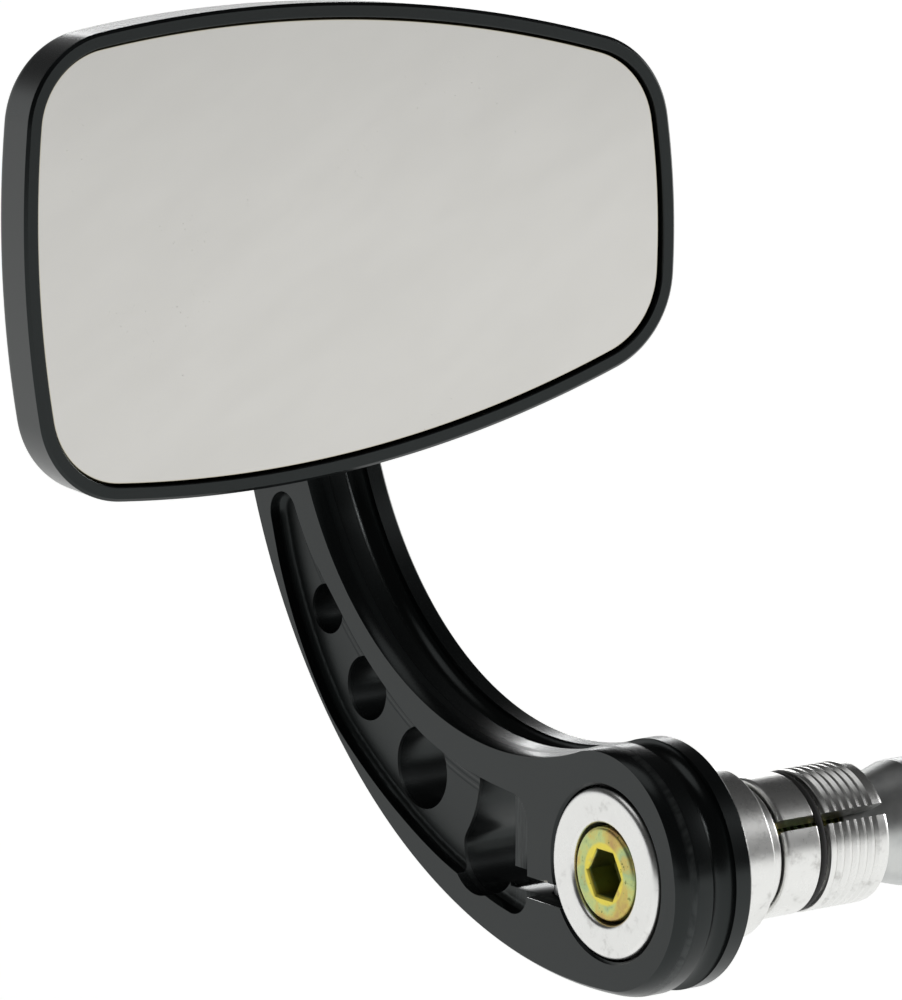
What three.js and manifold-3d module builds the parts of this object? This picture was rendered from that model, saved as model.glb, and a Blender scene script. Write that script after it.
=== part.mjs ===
// Bar-end mirror for a left-hand handlebar end.
// Units are millimetres.  The origin is the centre of the handlebar's end face,
// +X runs inboard along the bar, +Y is forward, away from the rider, and +Z is up.
import * as THREE from 'three';
import { mergeVertices } from 'three/addons/utils/BufferGeometryUtils.js';
import Module from 'manifold-3d';

const wasm = await Module();
wasm.setup();

// ---------------------------------------------------------------- driving dimensions
const GAP = 0.3;                       // air between neighbouring pieces

const ARM_FRONT = -20;                 // X of the arm's outboard face
const ARM_THICK = 12;
const ARM_MID = ARM_FRONT + ARM_THICK / 2;

const BOSS_R = 17.2;                   // clamp ring around the bushing
const VOID = { y: 23, z: 61, r: 48 };  // round hollow on the rider's side of the arm
const SWEEP = { y: 5.6, z: 62, r: 79.45 };  // lower part of the outer edge
const RISE_R = 88;                     // upper part of the outer edge
const RISE_ANGLE = -0.843;             // where the outer edge changes radius
const LEAN = { y: 0.38, z: 0.925 };    // direction of the straight top of the arm
const SEAT_LAND = 79;                  // Y of the arm's inner edge beside the stud seat
const SEAT_Y = 80.8;                   // Y of the milled stud seat
const BACK_Y = 93;                     // Y of the outer edge at the top
const TOP_Z = 88;
const TOP_CORNER = 6;

const FACE_BEVEL = { depth: 3, neck: 0.3, boss: 1.7, outer: 1.1, top: 1.6 };
const GROOVE = { start: 5.2, end: 9.1, depth: 1.7 };
const BACK_LAND = 11.5;                // depth where the small rear bevel starts
const REAR_BEVEL = 0.5;

const POCKET_DEPTH = 2.2;
const POCKET_OUTER = [[77.2, 34.9], [74.9, 28], [71.3, 20.6], [66.6, 13.6], [61.2, 7.9],
  [50.7, 0.8], [38.9, -5], [27.2, -8.6], [21.5, -9.8]];
const POCKET_INNER = [[71.5, 37.2], [68.3, 32.2], [64.1, 27.9], [55.4, 19.7], [44.8, 12.6],
  [36.6, 9.4], [28.9, 7.8], [21.6, 7]];
const POCKET_TOP = { y: 74.4, z: 36.2, r: 3.05 };
const POCKET_END = 17.8;               // Y of the wall between pocket and clamp ring
const POCKET_CORNER = 3.5;
const ROUND_HOLES = [
  { y: 67, z: 23.8, r: 3.5 },
  { y: 57.8, z: 14.3, r: 4.5 },
  { y: 44.9, z: 5.6, r: 5.75 },
];
const CLAMP_SLOT = { low: -6.9, high: -3.9 };

const BUSHING_R = 11.75;
const BUSHING_FACE = -20.45;           // stands a little proud of the arm
const BORE_R = BUSHING_R + 0.35;
const BORE_CHAMFER = 0.3;
const SPIGOT = { r: 9.2, length: 3 };
const SCREW = { headR: 6.5, headHeight: 9, headTop: -20.3, shankR: 4, length: 50, hex: 6.3, hexDepth: 4.5 };
const SHOULDER_X = -9;                 // floor of the bushing's counterbore
const COLLET = { start: SPIGOT.length + GAP, end: 21, r: 9.8, bore: 5, cut: 1.6, count: 3 };
const CONE = { start: 17, end: 29, small: 5.3, large: 8.7, nutEnd: 36 };
const GARTER = { x: 10, r: 9.15, wire: 0.5, grooveR: 8.3 };

const PINCH = { y: 16.6, headR: 3.5, headHeight: 4, shankR: 1.85, holeR: 2.2, low: -16.4, high: 6.5 };

const BALL_R = 6.35;
const CUP = { inner: BALL_R + GAP, outer: BALL_R + GAP + 1 };
const SOCKET_R = CUP.outer + GAP;
const BALL_FROM_SEAT = 10.78;
const BALL = new THREE.Vector3(ARM_MID, SEAT_Y - BALL_FROM_SEAT, 77.43);
const STUD = { neckR: 2.4, flangeR: 5, flange: 1.5, threadR: 3.9, holeR: 4.25, end: 102.5 };
const NUT_SEAT = 91.6;                 // Y of the spot face under the nut

const HEAD_YAW = THREE.MathUtils.degToRad(4.36);
const HEAD_PITCH = THREE.MathUtils.degToRad(3.52);
const HEAD_ROLL = THREE.MathUtils.degToRad(0.32);
const GLASS_FACE = 12.6;               // glass surface, measured from the ball's centre
const RIM_FACE = GLASS_FACE + 0.8;
const GLASS_THICK = 1.8;
const PAD_THICK = 0.8;
const SHELL_REAR = GLASS_FACE - 6.9;   // rear edge of the side wall
const SHELL_BACK = 3.2;                // flat middle of the shell's back
const RIM_WIDTH = 2.5;                 // from the edge of the glass to the side wall
const GLASS_CENTRE = -5.23;            // middle of the glass, outboard of the ball
const GLASS = { half: 49.4, endWide: 152, endNarrow: 108, crownAt: -19, height: 30.64,
  crown: 186, cornerWide: 10.95, cornerNarrow: 11.83 };
const HUB_R = 11.8;
const HUB_END = -3;
const RING = { start: HUB_END - GAP, end: -6.2 };
const RING_SCREWS = { count: 4, circle: 9.55, headR: 1.4, headHeight: 1, shankR: 0.8, length: 5.5 };

// ---------------------------------------------------------------- materials
const finish = (color, roughness, metalness) =>
  new THREE.MeshStandardMaterial({ color, roughness, metalness });
const blackAnodised = finish(0x2b2d2d, 0.35, 0.8);
const brightMetal = finish(0xe2e4e0, 0.25, 1);
const yellowZinc = finish(0xc9c76a, 0.35, 0.9);
const mirrorSilver = finish(0xcccbc6, 0.05, 1);
const blackRubber = finish(0x151515, 0.8, 0);
const zincSteel = finish(0xa8aaa8, 0.4, 0.9);
const nylon = finish(0xd8d4c4, 0.6, 0);
const foam = finish(0x303030, 0.9, 0);

// ---------------------------------------------------------------- booleans
function toSolid(geometry) {
  const plain = geometry.clone();
  plain.deleteAttribute('normal');
  plain.deleteAttribute('uv');
  const merged = mergeVertices(plain, 1e-4);
  return new wasm.Manifold(new wasm.Mesh({
    numProp: 3,
    vertProperties: new Float32Array(merged.attributes.position.array),
    triVerts: new Uint32Array(merged.index.array),
  }));
}

function toGeometry(solid) {
  const mesh = solid.getMesh();
  const geometry = new THREE.BufferGeometry();
  geometry.setAttribute('position', new THREE.BufferAttribute(new Float32Array(mesh.vertProperties), 3));
  geometry.setIndex(new THREE.BufferAttribute(new Uint32Array(mesh.triVerts), 1));
  return geometry;
}

function cut(body, tools) {
  return tools.reduce((solid, tool) => solid.subtract(toSolid(tool)), body);
}

// ---------------------------------------------------------------- outlines in a plane
function arc(centreY, centreZ, radius, from, to, steps) {
  const points = [];
  for (let i = 0; i <= steps; i += 1) {
    const angle = from + (to - from) * (i / steps);
    points.push(new THREE.Vector2(centreY + radius * Math.cos(angle), centreZ + radius * Math.sin(angle)));
  }
  return points;
}

function spline(pairs, steps) {
  return new THREE.SplineCurve(pairs.map(([y, z]) => new THREE.Vector2(y, z))).getPoints(steps);
}

function withoutDoubles(points) {
  return points.filter((point, i) => point.distanceTo(points[(i + 1) % points.length]) > 0.02);
}

// Point where two circles cross, on the +second-axis side.
function circlesMeet(a, ra, b, rb) {
  const gap = a.distanceTo(b);
  const along = (ra * ra - rb * rb + gap * gap) / (2 * gap);
  const side = Math.sqrt(Math.max(ra * ra - along * along, 0));
  const axis = b.clone().sub(a).divideScalar(gap);
  const middle = a.clone().addScaledVector(axis, along);
  const normal = new THREE.Vector2(-axis.y, axis.x);
  const first = middle.clone().addScaledVector(normal, side);
  const second = middle.clone().addScaledVector(normal, -side);
  return first.y > second.y ? first : second;
}

// A stack of closed outlines with equal point counts, skinned and capped at both ends.
// place(point, level) puts a plane point at its height.
function skin(rings, caps) {
  const count = rings[0].length;
  const position = rings.flat().flatMap((p) => [p.x, p.y, p.z]);
  const index = [];
  for (let r = 0; r + 1 < rings.length; r += 1) {
    for (let i = 0; i < count; i += 1) {
      const next = (i + 1) % count;
      const a = r * count + i;
      const b = r * count + next;
      index.push(a, b, b + count, a, b + count, a + count);
    }
  }
  const last = (rings.length - 1) * count;
  for (const [a, b, c] of THREE.ShapeUtils.triangulateShape(caps[0], [])) {
    index.push(a, c, b);
  }
  for (const [a, b, c] of THREE.ShapeUtils.triangulateShape(caps[1], [])) {
    index.push(last + a, last + b, last + c);
  }
  const geometry = new THREE.BufferGeometry();
  geometry.setAttribute('position', new THREE.Float32BufferAttribute(position, 3));
  geometry.setIndex(index);
  return geometry;
}

// ---------------------------------------------------------------- small solid builders
// Lathe about the X axis from [x, radius] pairs.
function turnedX(pairs, segments = 40) {
  const lathe = new THREE.LatheGeometry(pairs.map(([x, r]) => new THREE.Vector2(r, x)), segments);
  return lathe.rotateZ(-Math.PI / 2);
}

// Lathe about the Y axis from [y, radius] pairs, in the row's frame.
function turnedY(pairs, x, z, segments = 32) {
  const lathe = new THREE.LatheGeometry(pairs.map(([y, r]) => new THREE.Vector2(r, y)), segments);
  return lathe.translate(x, 0, z);
}

// Lathe about the Z axis from [z, radius] pairs.
function turnedZ(pairs, segments = 40) {
  const lathe = new THREE.LatheGeometry(pairs.map(([z, r]) => new THREE.Vector2(r, z)), segments);
  return lathe.rotateX(Math.PI / 2);
}

// Prism whose outline is given in the Y-Z plane and which runs along X.
function prismX(points, fromX, toX) {
  const shape = new THREE.Shape(points);
  const solid = new THREE.ExtrudeGeometry(shape, { depth: toX - fromX, bevelEnabled: false });
  const basis = new THREE.Matrix4().makeBasis(
    new THREE.Vector3(0, 1, 0), new THREE.Vector3(0, 0, 1), new THREE.Vector3(1, 0, 0));
  return solid.applyMatrix4(basis).translate(fromX, 0, 0);
}

function block(x0, x1, y0, y1, z0, z1) {
  return new THREE.BoxGeometry(x1 - x0, y1 - y0, z1 - z0)
    .translate((x0 + x1) / 2, (y0 + y1) / 2, (z0 + z1) / 2);
}

function hexagonal(acrossFlats, height) {
  return new THREE.CylinderGeometry(acrossFlats / Math.sqrt(3), acrossFlats / Math.sqrt(3), height, 6);
}

// ---------------------------------------------------------------- arm
// Widest outline of the arm, anticlockwise in Y-Z, each point with its front bevel width.
function armOutline() {
  const unit = new THREE.Vector2(Math.cos(RISE_ANGLE), Math.sin(RISE_ANGLE));
  const rise = new THREE.Vector2(SWEEP.y, SWEEP.z).addScaledVector(unit, SWEEP.r - RISE_R);
  const leanAngle = Math.atan2(-LEAN.y, LEAN.z);
  const neckAngle = Math.atan2(VOID.z, VOID.y);
  const tailAngle = Math.atan2(-SWEEP.z, -SWEEP.y);
  const riseEnd = -0.27;
  const seatBend = 6;
  const backBend = 40;
  const lineEnd = new THREE.Vector2(VOID.y + VOID.r * LEAN.z, VOID.z - VOID.r * LEAN.y);
  const bendY = SEAT_LAND - seatBend;
  const bendZ = lineEnd.y + (bendY + seatBend * LEAN.z - lineEnd.x) * (LEAN.z / LEAN.y) + seatBend * LEAN.y;
  const riseTip = rise.clone().add(new THREE.Vector2(Math.cos(riseEnd), Math.sin(riseEnd)).multiplyScalar(RISE_R));
  const backY = BACK_Y - backBend;
  const backZ = riseTip.y + (backY + backBend * Math.cos(riseEnd) - riseTip.x) / -Math.tan(riseEnd)
    - backBend * Math.sin(riseEnd);
  const tag = (points, from, to) => points.map((point, i) => ({
    point, bevel: THREE.MathUtils.lerp(from, to, i / (points.length - 1)),
  }));
  const { neck, boss, outer, top } = FACE_BEVEL;
  return [
    ...tag(arc(backY, backZ, backBend, riseEnd, 0, 4), outer, outer),
    ...tag(arc(BACK_Y - TOP_CORNER, TOP_Z - TOP_CORNER, TOP_CORNER, 0, Math.PI / 2, 7), outer, outer),
    ...tag(arc(SEAT_LAND + TOP_CORNER, TOP_Z - TOP_CORNER, TOP_CORNER, Math.PI / 2, Math.PI, 7), outer, outer),
    ...tag(arc(bendY, bendZ, seatBend, 0, leanAngle, 4), top, top),
    ...tag(arc(VOID.y, VOID.z, VOID.r, leanAngle, neckAngle - Math.PI, 30), top, neck),
    ...tag(arc(0, 0, BOSS_R, neckAngle, Math.PI - 0.2, 12), neck, boss),
    ...tag(arc(0, 0, BOSS_R, Math.PI - 0.2, tailAngle + 2 * Math.PI, 14), boss, outer),
    ...tag(arc(SWEEP.y, SWEEP.z, SWEEP.r, tailAngle, RISE_ANGLE, 22), outer, outer),
    ...tag(arc(rise.x, rise.y, RISE_R, RISE_ANGLE, riseEnd, 14), outer, outer),
  ].filter((item, i, all) => item.point.distanceTo(all[(i + 1) % all.length].point) > 0.02);
}

// Moves every outline point inward along its own normal.
function inset(outline, amount) {
  return outline.map((item, i) => {
    const before = outline[(i + outline.length - 1) % outline.length].point;
    const after = outline[(i + 1) % outline.length].point;
    const tangent = after.clone().sub(before).normalize();
    return new THREE.Vector2(item.point.x - tangent.y * amount(item), item.point.y + tangent.x * amount(item));
  });
}

// Edge section of the arm: [depth from the front face, inset] levels.
function armBlank() {
  const outline = armOutline();
  const bevelSteps = 3;
  const grooveSteps = 6;
  const levels = [];
  for (let i = 0; i < bevelSteps; i += 1) {
    const angle = (i / bevelSteps) * (Math.PI / 2);
    levels.push([FACE_BEVEL.depth * (1 - Math.cos(angle)) * 0.5 + FACE_BEVEL.depth * 0.5 * Math.sin(angle),
      (item) => item.bevel * (1 - Math.sin(angle))]);
  }
  levels.push([FACE_BEVEL.depth, () => 0]);
  for (let i = 0; i <= grooveSteps; i += 1) {
    const angle = (i / grooveSteps) * Math.PI;
    levels.push([THREE.MathUtils.lerp(GROOVE.start, GROOVE.end, (1 - Math.cos(angle)) / 2),
      () => GROOVE.depth * Math.sin(angle)]);
  }
  levels.push([BACK_LAND, () => 0], [ARM_THICK, () => REAR_BEVEL]);
  const planes = levels.map(([, amount]) => inset(outline, amount));
  const rings = planes.map((plane, level) =>
    plane.map((p) => new THREE.Vector3(ARM_FRONT + levels[level][0], p.x, p.y)));
  return skin(rings, [planes[0], planes[planes.length - 1]]);
}

function pocketOutline() {
  return withoutDoubles([
    ...spline(POCKET_INNER, 26),
    ...arc(POCKET_END + POCKET_CORNER, 7 - POCKET_CORNER, POCKET_CORNER, Math.PI / 2, Math.PI, 6),
    ...arc(POCKET_END + POCKET_CORNER, -9.8 + POCKET_CORNER, POCKET_CORNER, Math.PI, Math.PI * 1.5, 6),
    ...spline([...POCKET_OUTER].reverse(), 28),
    ...arc(POCKET_TOP.y, POCKET_TOP.z, POCKET_TOP.r, -0.3, 2.58, 8),
  ]);
}

// Fourth and largest lightening hole: round below, a straight end wall and a bowed web side.
function webHoleOutline() {
  return withoutDoubles([
    ...arc(29.3, -3, 5.9, Math.PI * 1.0, Math.PI * 2, 12),
    new THREE.Vector2(33.4, 0),
    new THREE.Vector2(32.2, 3.4),
    new THREE.Vector2(31.5, 8),
    new THREE.Vector2(28.9, 7.5),
    ...arc(25.4, 5.2, 2, Math.PI / 2, Math.PI, 4),
  ]);
}

function armGeometry() {
  const past = 1;
  const front = ARM_FRONT - past;
  const back = ARM_FRONT + ARM_THICK + past;
  const tools = [
    prismX(pocketOutline(), front, ARM_FRONT + POCKET_DEPTH),
    prismX(webHoleOutline(), front, back),
    ...ROUND_HOLES.map(({ y, z, r }) => turnedX([[front, 0], [front, r], [back, r], [back, 0]], 28).translate(0, y, z)),
    turnedX([[front, 0], [front, BORE_R + BORE_CHAMFER + past], [ARM_FRONT + BORE_CHAMFER, BORE_R],
      [back - past - BORE_CHAMFER, BORE_R], [back, BORE_R + BORE_CHAMFER + past], [back, 0]], 56),
    block(front, back, BORE_R - 2, 24.5, CLAMP_SLOT.low, CLAMP_SLOT.high),
    turnedY([[SEAT_LAND - 4, 0], [SEAT_LAND - 4, 7], [SEAT_Y, 7], [SEAT_Y, STUD.holeR],
      [NUT_SEAT, STUD.holeR], [NUT_SEAT, 7.6], [BACK_Y + 3, 7.6], [BACK_Y + 3, 0]], BALL.x, BALL.z),
    turnedZ([[-22, 0], [-22, PINCH.headR + 0.4], [PINCH.low + PINCH.headHeight, PINCH.headR + 0.4],
      [PINCH.low + PINCH.headHeight, PINCH.holeR], [PINCH.high + 0.8, PINCH.holeR], [PINCH.high + 0.8, 0]], 24)
      .translate(ARM_MID, PINCH.y, 0),
  ];
  return toGeometry(cut(toSolid(armBlank()), tools));
}

// ---------------------------------------------------------------- bar-end clamp
function bushingGeometry() {
  const edge = 0.9;
  const mouth = SCREW.headR + 0.5;
  return turnedX([
    [SHOULDER_X, SCREW.shankR + 0.4], [SHOULDER_X, mouth], [BUSHING_FACE + edge, mouth],
    [BUSHING_FACE + 0.25, mouth + 0.3], [BUSHING_FACE, mouth + edge], [BUSHING_FACE, BUSHING_R - edge],
    [BUSHING_FACE + edge, BUSHING_R], [-0.4, BUSHING_R], [0, BUSHING_R - 0.4], [0, SPIGOT.r],
    [SPIGOT.length, SPIGOT.r], [SPIGOT.length, SCREW.shankR + 0.4], [SHOULDER_X, SCREW.shankR + 0.4],
  ], 48);
}

function screwGeometry({ top, headR, headHeight, shankR, length, hex, hexDepth, chamfer }) {
  const head = top + headHeight;
  const body = turnedX([
    [top, 0], [top, headR - chamfer], [top + chamfer, headR], [head, headR], [head, shankR],
    [head + length - chamfer, shankR], [head + length, shankR - chamfer], [head + length, 0],
  ], 36);
  const socket = hexagonal(hex, hexDepth + 1).rotateZ(Math.PI / 2).rotateX(Math.PI / 6)
    .translate(top + (hexDepth - 1) / 2, 0, 0);
  return toGeometry(cut(toSolid(body), [socket]));
}

function lockWasherGeometry() {
  const end = SHOULDER_X - GAP;
  const start = SCREW.headTop + SCREW.headHeight + GAP;
  const ring = turnedX([[start, SCREW.shankR + 0.35], [start, 6.3], [end, 6.3], [end, SCREW.shankR + 0.35],
    [start, SCREW.shankR + 0.35]], 36);
  return toGeometry(cut(toSolid(ring), [block(start - 1, end + 1, -0.6, 0.6, 3, 8)]));
}

function ringX(x, radius, wire) {
  return new THREE.TorusGeometry(radius, wire, 8, 28).rotateY(Math.PI / 2).translate(x, 0, 0);
}

function coneRadius(x) {
  return CONE.small + ((x - CONE.start) / (CONE.end - CONE.start)) * (CONE.large - CONE.small);
}

function coneNutGeometry() {
  const bore = SCREW.shankR + 0.35;
  return turnedX([[CONE.start, bore], [CONE.start, CONE.small], [CONE.end, CONE.large],
    [CONE.nutEnd - 0.6, CONE.large], [CONE.nutEnd, CONE.large - 0.6], [CONE.nutEnd, bore],
    [CONE.start, bore]], 36);
}

// One of the jaws of the split collet, centred on the given angle about the bar axis.
function colletSegmentGeometry(angle) {
  const clear = 0.4;
  const coneIn = CONE.start + (COLLET.bore - clear - CONE.small)
    / ((CONE.large - CONE.small) / (CONE.end - CONE.start));
  const sleeve = turnedX([
    [COLLET.start, COLLET.bore], [COLLET.start, COLLET.r - 0.5], [COLLET.start + 0.5, COLLET.r],
    [GARTER.x - 0.9, COLLET.r], [GARTER.x - 0.9, GARTER.grooveR], [GARTER.x + 0.9, GARTER.grooveR],
    [GARTER.x + 0.9, COLLET.r], [COLLET.end - 0.5, COLLET.r], [COLLET.end, COLLET.r - 0.5],
    [COLLET.end, coneRadius(COLLET.end) + clear], [coneIn, COLLET.bore], [COLLET.start, COLLET.bore],
  ], 48);
  const half = COLLET.cut / 2;
  const reach = 40;
  const spread = Math.PI / COLLET.count;
  const wedge = [
    new THREE.Vector2(half / Math.sin(spread), 0),
    new THREE.Vector2(half / Math.sin(spread) + reach * Math.cos(spread), reach * Math.sin(spread)),
    new THREE.Vector2(half / Math.sin(spread) + reach * Math.cos(spread), -reach * Math.sin(spread)),
  ].map((p) => p.rotateAround(new THREE.Vector2(0, 0), angle));
  return toGeometry(toSolid(sleeve).intersect(toSolid(prismX([wedge[0], wedge[2], wedge[1]], 0, 40))));
}

function pinchScrewGeometry() {
  const { low, high, headR, headHeight, shankR } = PINCH;
  const body = turnedZ([[low, 0], [low, headR - 0.3], [low + 0.3, headR], [low + headHeight - GAP, headR],
    [low + headHeight - GAP, shankR], [high - 0.4, shankR], [high, shankR - 0.4], [high, 0]], 28);
  const socket = hexagonal(3, 3.2).rotateX(Math.PI / 2).translate(0, 0, low + 0.9);
  return toGeometry(cut(toSolid(body), [socket])).translate(ARM_MID, PINCH.y, 0);
}

// ---------------------------------------------------------------- ball stud and its nut
function ballStudGeometry() {
  const profile = [];
  const neckAngle = Math.asin(STUD.neckR / BALL_R);
  const steps = 10;
  for (let i = 0; i <= steps; i += 1) {
    const angle = Math.PI - (Math.PI - neckAngle) * (i / steps);
    profile.push([BALL.y + BALL_R * Math.cos(angle), i === 0 ? 0 : BALL_R * Math.sin(angle)]);
  }
  const seat = SEAT_Y - GAP;
  profile.push([seat - STUD.flange, STUD.neckR], [seat - STUD.flange, STUD.flangeR], [seat, STUD.flangeR],
    [seat, STUD.threadR], [STUD.end - 0.8, STUD.threadR], [STUD.end, STUD.threadR - 0.8], [STUD.end, 0]);
  return turnedY(profile, BALL.x, BALL.z, 28);
}

function studWasherGeometry() {
  const start = NUT_SEAT + GAP;
  const bore = STUD.threadR + 0.35;
  return turnedY([[start, bore], [start, 7.2], [start + 1.4, 7.2], [start + 1.4, bore], [start, bore]],
    BALL.x, BALL.z, 36);
}

function studNutGeometry() {
  const start = NUT_SEAT + GAP + 1.4 + GAP;
  const height = 6;
  const bore = STUD.threadR + 0.35;
  const hex = hexagonal(12, height).translate(BALL.x, start + height / 2, BALL.z);
  const cone = turnedY([[start - 1, 0], [start - 1, 6.2], [start + 0.4, 6.9], [start + height - 0.4, 6.9],
    [start + height + 1, 6.2], [start + height + 1, 0]], BALL.x, BALL.z, 36);
  const hole = turnedY([[start - 1, 0], [start - 1, bore], [start + height + 1, bore],
    [start + height + 1, 0]], BALL.x, BALL.z, 32);
  return toGeometry(toSolid(hex).intersect(toSolid(cone)).subtract(toSolid(hole)));
}

// ---------------------------------------------------------------- mirror head
// Outline of the glass in the head's own plane, grown outward by offset.
// Five kinds of arc meet tangentially: two ends, two crowned long sides and four corners.
function headOutline(offset) {
  const wide = new THREE.Vector2(GLASS.endWide - GLASS.half, 0);
  const narrow = new THREE.Vector2(GLASS.half - GLASS.endNarrow, 0);
  const crown = new THREE.Vector2(GLASS.crownAt, GLASS.height - GLASS.crown);
  const wideCorner = circlesMeet(wide, GLASS.endWide - GLASS.cornerWide, crown, GLASS.crown - GLASS.cornerWide);
  const narrowCorner = circlesMeet(narrow, GLASS.endNarrow - GLASS.cornerNarrow, crown,
    GLASS.crown - GLASS.cornerNarrow);
  const heading = (to, from) => Math.atan2(to.y - from.y, to.x - from.x);
  const end = heading(narrowCorner, narrow);
  const upper = [
    ...arc(narrow.x, narrow.y, GLASS.endNarrow + offset, 0, end, 5),
    ...arc(narrowCorner.x, narrowCorner.y, GLASS.cornerNarrow + offset, end, heading(narrowCorner, crown), 9),
    ...arc(crown.x, crown.y, GLASS.crown + offset, heading(narrowCorner, crown), heading(wideCorner, crown), 14),
    ...arc(wideCorner.x, wideCorner.y, GLASS.cornerWide + offset, heading(wideCorner, crown),
      heading(wideCorner, wide), 9),
    ...arc(wide.x, wide.y, GLASS.endWide + offset, heading(wideCorner, wide), Math.PI, 5),
  ];
  const lower = [...upper].reverse().map((p) => new THREE.Vector2(p.x, -p.y));
  return withoutDoubles([...upper, ...lower]).map((p) => new THREE.Vector2(p.x + GLASS_CENTRE, p.y));
}

// Solid between levels [z, offset from the glass outline], in the head's frame.
function headStack(levels) {
  const planes = levels.map(([, offset]) => headOutline(offset));
  const rings = planes.map((plane, i) => plane.map((p) => new THREE.Vector3(p.x, p.y, levels[i][0])));
  return skin(rings, [planes[0], planes[planes.length - 1]]);
}

function shellGeometry() {
  const floor = GLASS_FACE - GLASS_THICK - GAP - PAD_THICK - GAP;
  const body = headStack([
    [SHELL_BACK, -9], [SHELL_BACK + 0.7, -2], [SHELL_BACK + 1.6, 1.1], [SHELL_REAR, RIM_WIDTH - 0.45],
    [RIM_FACE - 0.4, RIM_WIDTH], [RIM_FACE, RIM_WIDTH - 0.4],
  ]);
  const hub = turnedZ([[HUB_END, 0], [HUB_END, HUB_R], [SHELL_BACK - 1.2, HUB_R], [SHELL_BACK + 0.5, HUB_R + 2],
    [SHELL_BACK + 2, HUB_R + 2], [SHELL_BACK + 2, 0]], 40);
  const cavity = headStack([[floor, 0.4], [RIM_FACE + 1, 0.4]]);
  const socket = [];
  for (let i = 0; i <= 10; i += 1) {
    const angle = (i / 10) * (Math.PI / 2);
    socket.push([SOCKET_R * Math.cos(angle), i === 0 ? 0 : SOCKET_R * Math.sin(angle)]);
  }
  socket.push([HUB_END - 1, SOCKET_R], [HUB_END - 1, 0]);
  const tapped = ringScrewPlaces().map(([x, y]) =>
    turnedZ([[HUB_END - 1, 0], [HUB_END - 1, 1.15], [HUB_END + 3, 1.15], [HUB_END + 3, 0]], 12).translate(x, y, 0));
  return toGeometry(cut(toSolid(body).add(toSolid(hub)), [cavity, turnedZ(socket.reverse(), 36), ...tapped]));
}

function glassGeometry() {
  return headStack([[GLASS_FACE - GLASS_THICK, 0], [GLASS_FACE, 0]]);
}

function adhesiveGeometry() {
  const top = GLASS_FACE - GLASS_THICK - GAP;
  return headStack([[top - PAD_THICK, -3], [top, -3]]);
}

// Part of a spherical cup between two angles measured from the head's rear axis.
function cupGeometry(from, to) {
  const steps = 6;
  const sweep = (radius, a, b) => {
    const run = [];
    for (let i = 0; i <= steps; i += 1) {
      const angle = a + (b - a) * (i / steps);
      run.push([-radius * Math.cos(angle), radius * Math.sin(angle)]);
    }
    return run;
  };
  const profile = [...sweep(CUP.outer, from, to), ...sweep(CUP.inner, to, from)];
  profile.push(profile[0]);
  return turnedZ(profile, 28);
}

function ringScrewPlaces() {
  const places = [];
  for (let i = 0; i < RING_SCREWS.count; i += 1) {
    const angle = Math.PI / 4 + (i * 2 * Math.PI) / RING_SCREWS.count;
    places.push([RING_SCREWS.circle * Math.cos(angle), RING_SCREWS.circle * Math.sin(angle)]);
  }
  return places;
}

function retainingRingGeometry() {
  const lip = -4.9;
  const steps = 6;
  const profile = [[RING.start, HUB_R], [RING.end + 0.7, HUB_R], [RING.end, HUB_R - 0.8],
    [RING.end, 7.1], [lip, Math.sqrt(SOCKET_R ** 2 - lip ** 2)]];
  for (let i = 1; i <= steps; i += 1) {
    const z = lip + (RING.start - lip) * (i / steps);
    profile.push([z, Math.sqrt(SOCKET_R ** 2 - z ** 2)]);
  }
  profile.push(profile[0]);
  const holes = ringScrewPlaces().map(([x, y]) =>
    turnedZ([[RING.end - 1, 0], [RING.end - 1, RING_SCREWS.headR + GAP], [RING.end + 1.5, RING_SCREWS.headR + GAP],
      [RING.end + 1.5, 1.3], [RING.start + 1, 1.3], [RING.start + 1, 0]], 16).translate(x, y, 0));
  return toGeometry(cut(toSolid(turnedZ(profile.reverse(), 40)), holes));
}

function ringScrewGeometry(x, y) {
  const low = RING.end + 0.1;
  const head = low + RING_SCREWS.headHeight;
  const screw = turnedZ([[low, 0], [low, RING_SCREWS.headR], [head, RING_SCREWS.headR],
    [head, RING_SCREWS.shankR], [low + RING_SCREWS.length, RING_SCREWS.shankR], [low + RING_SCREWS.length, 0]], 14);
  const socket = hexagonal(1.5, 1.4).rotateX(Math.PI / 2).translate(0, 0, low);
  return toGeometry(cut(toSolid(screw), [socket])).translate(x, y, 0);
}

// ---------------------------------------------------------------- assembly
function mesh(name, geometry, material) {
  const piece = new THREE.Mesh(geometry, material);
  piece.name = name;
  return piece;
}

function headBasis() {
  const normal = new THREE.Vector3(-Math.sin(HEAD_YAW) * Math.cos(HEAD_PITCH),
    -Math.cos(HEAD_YAW) * Math.cos(HEAD_PITCH), Math.sin(HEAD_PITCH));
  const level = new THREE.Vector3(Math.cos(HEAD_YAW), -Math.sin(HEAD_YAW), 0);
  const upright = new THREE.Vector3().crossVectors(normal, level);
  const across = level.multiplyScalar(Math.cos(HEAD_ROLL)).addScaledVector(upright, Math.sin(HEAD_ROLL));
  return new THREE.Matrix4().makeBasis(across, new THREE.Vector3().crossVectors(normal, across), normal);
}

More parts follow.
